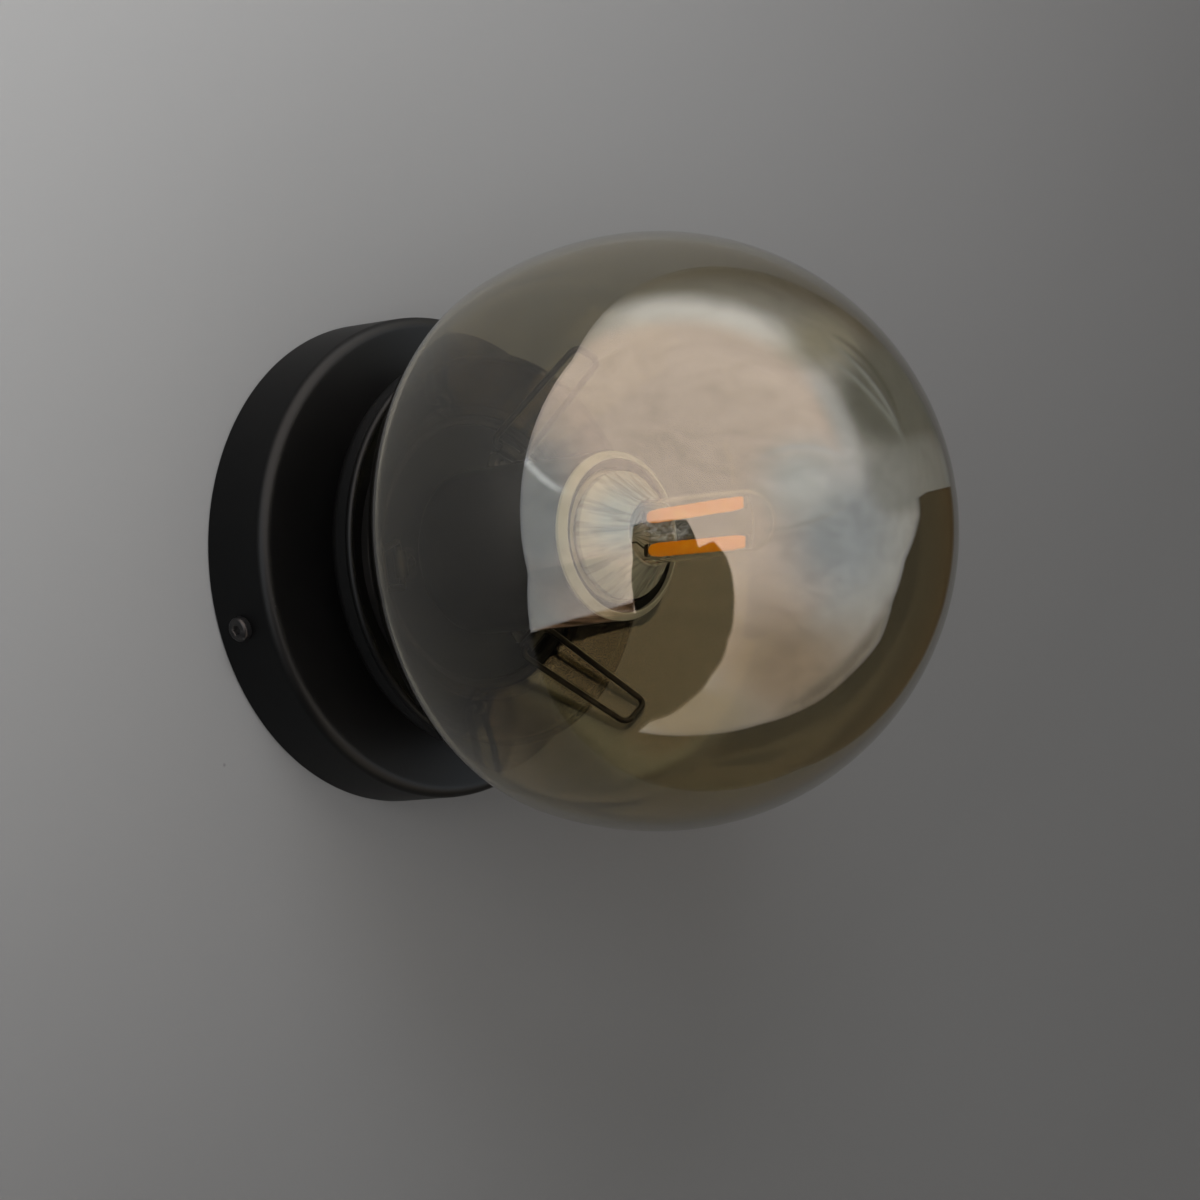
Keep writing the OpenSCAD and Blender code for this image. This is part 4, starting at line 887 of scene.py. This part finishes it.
def border(tree, plan, centre, line):
    """How far a direction lies inside a closed border: the border's reach at its bearing less its own
    reach."""
    off = vector(tree, "SUBTRACT", plan, (*centre, 0))
    du, dv, _ = put(tree, "SeparateXYZ", Vector=off).outputs
    place = spread(tree, math(tree, "ARCTAN2", dv, du), -np.pi, np.pi, 0.0, 1.0)
    p = np.asarray(line, float) - centre
    turn = (np.arctan2(p[:, 1], p[:, 0]) / TAU + 0.5) % 1.0
    reach = np.hypot(p[:, 0], p[:, 1])
    order = np.argsort(turn)
    turn, reach = turn[order], reach[order]
    seam = np.interp(0.0, [turn[-1] - 1, turn[0]], [reach[-1], reach[0]])
    turn = np.concatenate([[0.0], turn, [1.0]])
    reach = np.concatenate([[seam], reach, [seam]])
    curve = put(tree, "FloatCurve", Value=place)
    dots = curve.mapping.curves[0].points
    while len(dots) < len(turn):
        dots.new(0.5, 0.5)
    for dot, a, b in zip(dots, turn, reach):
        dot.location = (float(a), float(b))
        dot.handle_type = "VECTOR"
    curve.mapping.update()
    return math(tree, "SUBTRACT", curve.outputs[0], vector(tree, "LENGTH", off))


def glow(tree, plan, centre, size, soft=1.0):
    """A soft oval patch: 1 at its centre, falling to 0 at its size."""
    off = vector(tree, "SUBTRACT", plan, (*centre, 0))
    reach = vector(tree, "LENGTH", vector(tree, "DIVIDE", off, (*size, 1)))
    return spread(tree, reach, 1.0, 1.0 - soft, 0.0, 1.0, "SMOOTHSTEP")


def ridge(tree, plan, centre, r, width):
    """A soft line along a circle: 1 on it, falling to 0 at its width to both sides."""
    reach = vector(tree, "LENGTH", vector(tree, "SUBTRACT", plan, (*centre, 0)))
    off = math(tree, "ABSOLUTE", math(tree, "SUBTRACT", reach, r))
    return spread(tree, off, width, 0.0, 0.0, 1.0, "SMOOTHSTEP")


# Cloth of the light tent. Patches: centre, size, softness and colour.
CLOTH_FAR, CLOTH_NEAR = (0.70, 0.62, 0.50), (4.2, 4.05, 3.85)
PATCHES = (
    ((0.08, 0.13), (0.62, 0.62), 0.12, (5.7, 4.7, 4.1)),
    ((0.40, -0.45), (0.52, 0.40), 0.9, (2.2, 1.65, 1.2)),
    ((0.60, 0.00), (0.30, 0.40), 0.8, (2.55, 2.75, 3.05)),
    ((0.78, 0.44), (0.30, 0.26), 0.6, (0.85, 0.88, 0.80)),
    ((0.46, 0.17), (0.22, 0.20), 1.0, (4.9, 5.0, 5.0)),
    ((0.10, -0.60), (0.30, 0.13), 0.6, (2.1, 1.75, 1.3)),
    ((0.52, 0.62), (0.20, 0.14), 0.9, (2.4, 2.2, 1.7)),
    ((-0.40, 0.05), (0.22, 0.48), 0.8, (2.5, 2.6, 2.7)),
    ((-0.14, 0.04), (0.16, 0.16), 0.8, (3.6, 3.9, 4.3)),
)
# Folds: centre, radius and width of the line, the patch it shows in (centre, size), colour and strength.
FOLDS = (
    ((0.06, 0.13), 0.60, 0.075, (0.15, 0.72), (0.48, 0.26), (7.6, 7.4, 7.1), 0.8),
    ((0.06, 0.13), 0.58, 0.060, (0.58, 0.36), (0.26, 0.30), (4.6, 4.7, 4.8), 0.7),
    ((0.20, 0.10), 0.632, 0.014, (0.72, 0.48), (0.24, 0.28), (2.6, 2.7, 2.6), 0.8),
    ((0.35, 0.25), 0.453, 0.012, (0.70, 0.50), (0.22, 0.28), (0.35, 0.36, 0.33), 0.7),
    ((0.10, -0.10), 0.806, 0.012, (0.70, 0.50), (0.24, 0.28), (2.4, 2.5, 2.4), 0.7),
    ((0.28, 0.16), 0.540, 0.010, (0.70, 0.48), (0.20, 0.24), (0.4, 0.41, 0.38), 0.6),
    ((0.46, 0.02), 0.255, 0.016, (0.48, 0.26), (0.20, 0.12), (4.6, 4.7, 4.8), 0.6),
    ((0.30, 0.62), 0.62, 0.010, (0.46, 0.06), (0.22, 0.12), (2.4, 2.3, 2.2), 0.5),
    ((-0.15, 0.45), 0.362, 0.020, (-0.40, 0.19), (0.14, 0.14), (6.5, 6.8, 7.0), 0.8),
    ((0.12, 0.05), 0.700, 0.040, (0.60, -0.42), (0.40, 0.34), (0.9, 0.75, 0.6), 0.75),
    ((0.12, 0.05), 0.745, 0.025, (0.70, -0.30), (0.30, 0.40), (3.2, 3.0, 2.6), 0.5),
)
# Borders of the loose flap on the right, of the whole tent and of its dark opening
FLAP = ((0.66, 0.215), (0.80, 0.30), (0.90, 0.335), (0.97, 0.28), (0.98, 0.08), (0.85, 0.06), (0.74, 0.04))
TENT = ((0.849, 0.121), (0.855, 0.053), (0.804, -0.094), (0.765, -0.224), (0.724, -0.355), (0.625, -0.469),
        (0.527, -0.551), (0.33, -0.63), (0.134, -0.666), (-0.062, -0.657), (-0.193, -0.625), (-0.32, -0.70),
        (-0.55, -0.60), (-0.65, -0.3), (-0.68, 0.05), (-0.6, 0.45), (-0.35, 0.8), (0.1, 0.95), (0.6, 0.9),
        (1.0, 0.6), (1.15, 0.2))
OPENING = ((-0.001, 0.032), (0.086, 0.036), (0.124, -0.055), (0.174, -0.033), (0.214, -0.082), (0.239, -0.184),
           (0.240, -0.26), (0.222, -0.354), (0.17, -0.469), (0.1, -0.551), (-0.03, -0.624), (-0.15, -0.70),
           (-0.25, -0.80), (-0.45, -0.72), (-0.5, -0.5), (-0.48, -0.345), (-0.407, -0.33), (-0.2034, -0.2906),
           (-0.128, -0.276), (-0.078, -0.268), (-0.089, -0.20), (-0.089, -0.094), (-0.089, 0.019))
OUTSIDE, DARK = (0.06, 0.04, 0.02), (0.012, 0.011, 0.009)
PLAIN_LIGHT, PALE_GROUND, INNER_DIM = (0.42, 0.42, 0.42), (0.80, 0.80, 0.80), (0.50, 0.48, 0.42)


def tent_colours(tree, way):
    """The tent's colours for a direction: cloth in patches and folds inside its border, a dark opening with a
    marbled top, and a brown wedge between two slanting lines. The second colour leaves the marble and the
    wedge out."""
    half = vector(tree, "NORMALIZE", vector(tree, "ADD", way, VIEW_AXIS))
    u, v = vector(tree, "DOT_PRODUCT", half, VIEW_RIGHT), vector(tree, "DOT_PRODUCT", half, VIEW_UP)
    plan = put(tree, "CombineXYZ", X=u, Y=v).outputs[0]

    cloth = blend(tree, glow(tree, plan, (0.16, 0.00), (0.84, 0.88), 0.30), CLOTH_FAR, CLOTH_NEAR)
    for centre, size, soft, colour in PATCHES:
        cloth = blend(tree, glow(tree, plan, centre, size, soft), cloth, colour)
    for centre, r, width, patch, size, colour, strength in FOLDS:
        line = math(tree, "MULTIPLY", ridge(tree, plan, centre, r, width), glow(tree, plan, patch, size, 0.7))
        cloth = blend(tree, math(tree, "MULTIPLY", line, strength), cloth, colour)
    flap = spread(tree, border(tree, plan, (0.84, 0.16), FLAP), -0.004, 0.05, 0.0, 0.7)
    cloth = blend(tree, flap, cloth, (1.7, 1.75, 1.7))
    below = spread(tree, math(tree, "MULTIPLY_ADD", u, -0.217, v), -0.038, -0.045, 0.0, 0.55)
    below = math(tree, "MULTIPLY", below, glow(tree, plan, (-0.32, -0.20), (0.26, 0.20), 0.4))
    cloth = blend(tree, below, cloth, (1.6, 1.7, 1.8))
    creases = put(tree, "Mapping", Vector=way, Scale=(2.2, 5.0, 7.0), Rotation=(0.5, 0.3, 0.2)).outputs[0]
    creases = noise(tree, creases, 1.3, 4.0, 0.5, 1.2)
    creases = ramp(tree, creases, *greys((0.30, 0.84), (0.5, 1.0), (0.7, 1.10)))
    cloth = blend(tree, 0.8, cloth, creases, "MULTIPLY")
    slanted = ramp(tree, vector(tree, "LENGTH", plan),
                   *greys((0.62, 1), (0.76, 0.66), (0.86, 0.40), (0.94, 0.20), (1.0, 0.06)))
    cloth = blend(tree, 1.0, cloth, slanted, "MULTIPLY")
    inside = spread(tree, border(tree, plan, (0.25, 0.05), TENT), -0.004, 0.004, 0.0, 1.0)
    cloth = blend(tree, inside, OUTSIDE, cloth)

    gap = spread(tree, border(tree, plan, (0.02, -0.33), OPENING), -0.004, 0.004, 0.0, 1.0)
    marble = ramp(tree, noise(tree, plan, 34.0, 4.0, 0.7, 1.5),
                  (0.40, (0.05, 0.04, 0.03)), (0.50, (1.1, 1.05, 1.0)), (0.62, (2.4, 2.35, 2.3)))
    dark = blend(tree, glow(tree, plan, (0.015, 0.008), (0.11, 0.05), 0.5), DARK, marble)
    plain, cloth = blend(tree, gap, cloth, DARK), blend(tree, gap, cloth, dark)
    over = math(tree, "SUBTRACT", math(tree, "MULTIPLY_ADD", u, 0.291, -0.206), v)
    under = math(tree, "SUBTRACT", v, math(tree, "MULTIPLY_ADD", u, 0.128, -0.274))
    wedge = math(tree, "MINIMUM", math(tree, "MINIMUM", over, under), math(tree, "SUBTRACT", -0.086, u))
    streaks = put(tree, "Mapping", Vector=plan, Rotation=(0, 0, -0.28), Scale=(6, 90, 1)).outputs[0]
    bark = ramp(tree, noise(tree, streaks, 1.0, 3.0, 0.6),
                (0.40, (0.10, 0.05, 0.02)), (0.55, (1.3, 0.75, 0.42)), (0.68, (3.0, 2.3, 1.8)))
    return blend(tree, spread(tree, wedge, -0.003, 0.003, 0.0, 1.0), cloth, bark), plain


def studio_light():
    """Plain pale surroundings, and for reflections a light tent of white and peach cloth round the camera,
    with a dark opening below it and a dark gap on its right. A direction is laid out by the half-way vector
    between it and the direction to the camera, which is where a round mirror would show it. Reflections from
    inside the globe show the tent dimmed."""
    world = bpy.data.worlds.new("studio")
    bpy.context.scene.world = world
    world.use_nodes = True
    tree = world.node_tree
    cloth, plain = tent_colours(tree, put(tree, "TexCoord").outputs["Generated"])
    ray = put(tree, "LightPath").outputs
    first = math(tree, "LESS_THAN", ray["Diffuse Depth"], 0.5)
    through = math(tree, "MULTIPLY", ray["Is Transmission Ray"], first)
    colour = blend(tree, math(tree, "MAXIMUM", through, ray["Is Camera Ray"]), PLAIN_LIGHT, PALE_GROUND)
    bounced = math(tree, "GREATER_THAN", ray["Glossy Depth"], 0.5)
    colour = blend(tree, math(tree, "MULTIPLY", bounced, ray["Is Glossy Ray"]), colour, cloth)
    inner = math(tree, "MULTIPLY", bounced, math(tree, "GREATER_THAN", ray["Transmission Depth"], 2.5))
    colour = blend(tree, inner, colour, blend(tree, 1.0, plain, INNER_DIM, "MULTIPLY"))
    feed(tree, tree.nodes["Background"], Color=colour)


def set_up(name, data, axes, spot):
    """Places a lamp or camera by its three axes and its spot."""
    obj = bpy.data.objects.new(name, data)
    bpy.context.scene.collection.objects.link(obj)
    obj.matrix_world = Matrix([[*row, p] for row, p in zip(np.stack(axes, 1), spot)] + [[0, 0, 0, 1]])
    return obj


def lamp(name, spot, size, watts):
    """A soft square lamp that faces the sconce. Mirrored and refracted rays don't see it."""
    light = bpy.data.lights.new(name, "AREA")
    light.size = size
    light.energy = watts
    z = np.subtract(spot, LAMP_AIM)
    z /= np.linalg.norm(z)
    x = np.cross([0, 0, 1], z)
    x /= np.linalg.norm(x)
    obj = set_up(name, light, (x, np.cross(z, x), z), spot)
    obj.visible_camera = obj.visible_glossy = obj.visible_transmission = False


def photo_camera():
    """The photograph's own viewpoint: 1.5 m from the lamp, 45 degrees to its left and 7 degrees below it."""
    yaw, pitch, roll = np.radians([-45.476, -7.41, 0.654])
    look = np.array([-np.sin(yaw) * np.cos(pitch), np.cos(yaw) * np.cos(pitch), -np.sin(pitch)])
    right = np.array([np.cos(yaw), np.sin(yaw), 0])
    up = np.cross(right, look)
    x = np.cos(roll) * right + np.sin(roll) * up
    y = -np.sin(roll) * right + np.cos(roll) * up
    cam = bpy.data.cameras.new("photo_camera")
    cam.sensor_width = 36
    cam.lens = 175.07
    cam.shift_x = 0.00073
    cam.shift_y = -0.0517
    cam.clip_start = 0.05
    bpy.context.scene.camera = set_up("photo_camera", cam, (x, y, -look), CAMERA_AIM - look * CAMERA_DISTANCE)


photo_camera()
canopy_shell()
collar_piece()
dish_shell()
cup_shell()
mouth_ring()
gasket_ring()
side_screw_pair()
threaded_nipple()
all_leads()
for letter, turn in zip("abc", CLIP_TURNS):
    clip_wire(letter, turn)
globe_glass()
capsule()
ceramic_collar()
filament_strip(1, "upper")
filament_strip(-1, "lower")
filament_metal()
carry_over()
studio_wall()
studio_floor()
studio_light()
lamp("key_lamp", (-1.0, -1.4, 1.1), 0.9, 17.0)
lamp("fill_lamp", (-1.10, -1.20, -0.05), 0.9, 12.0)
bpy.context.scene.view_settings.view_transform = "Standard"
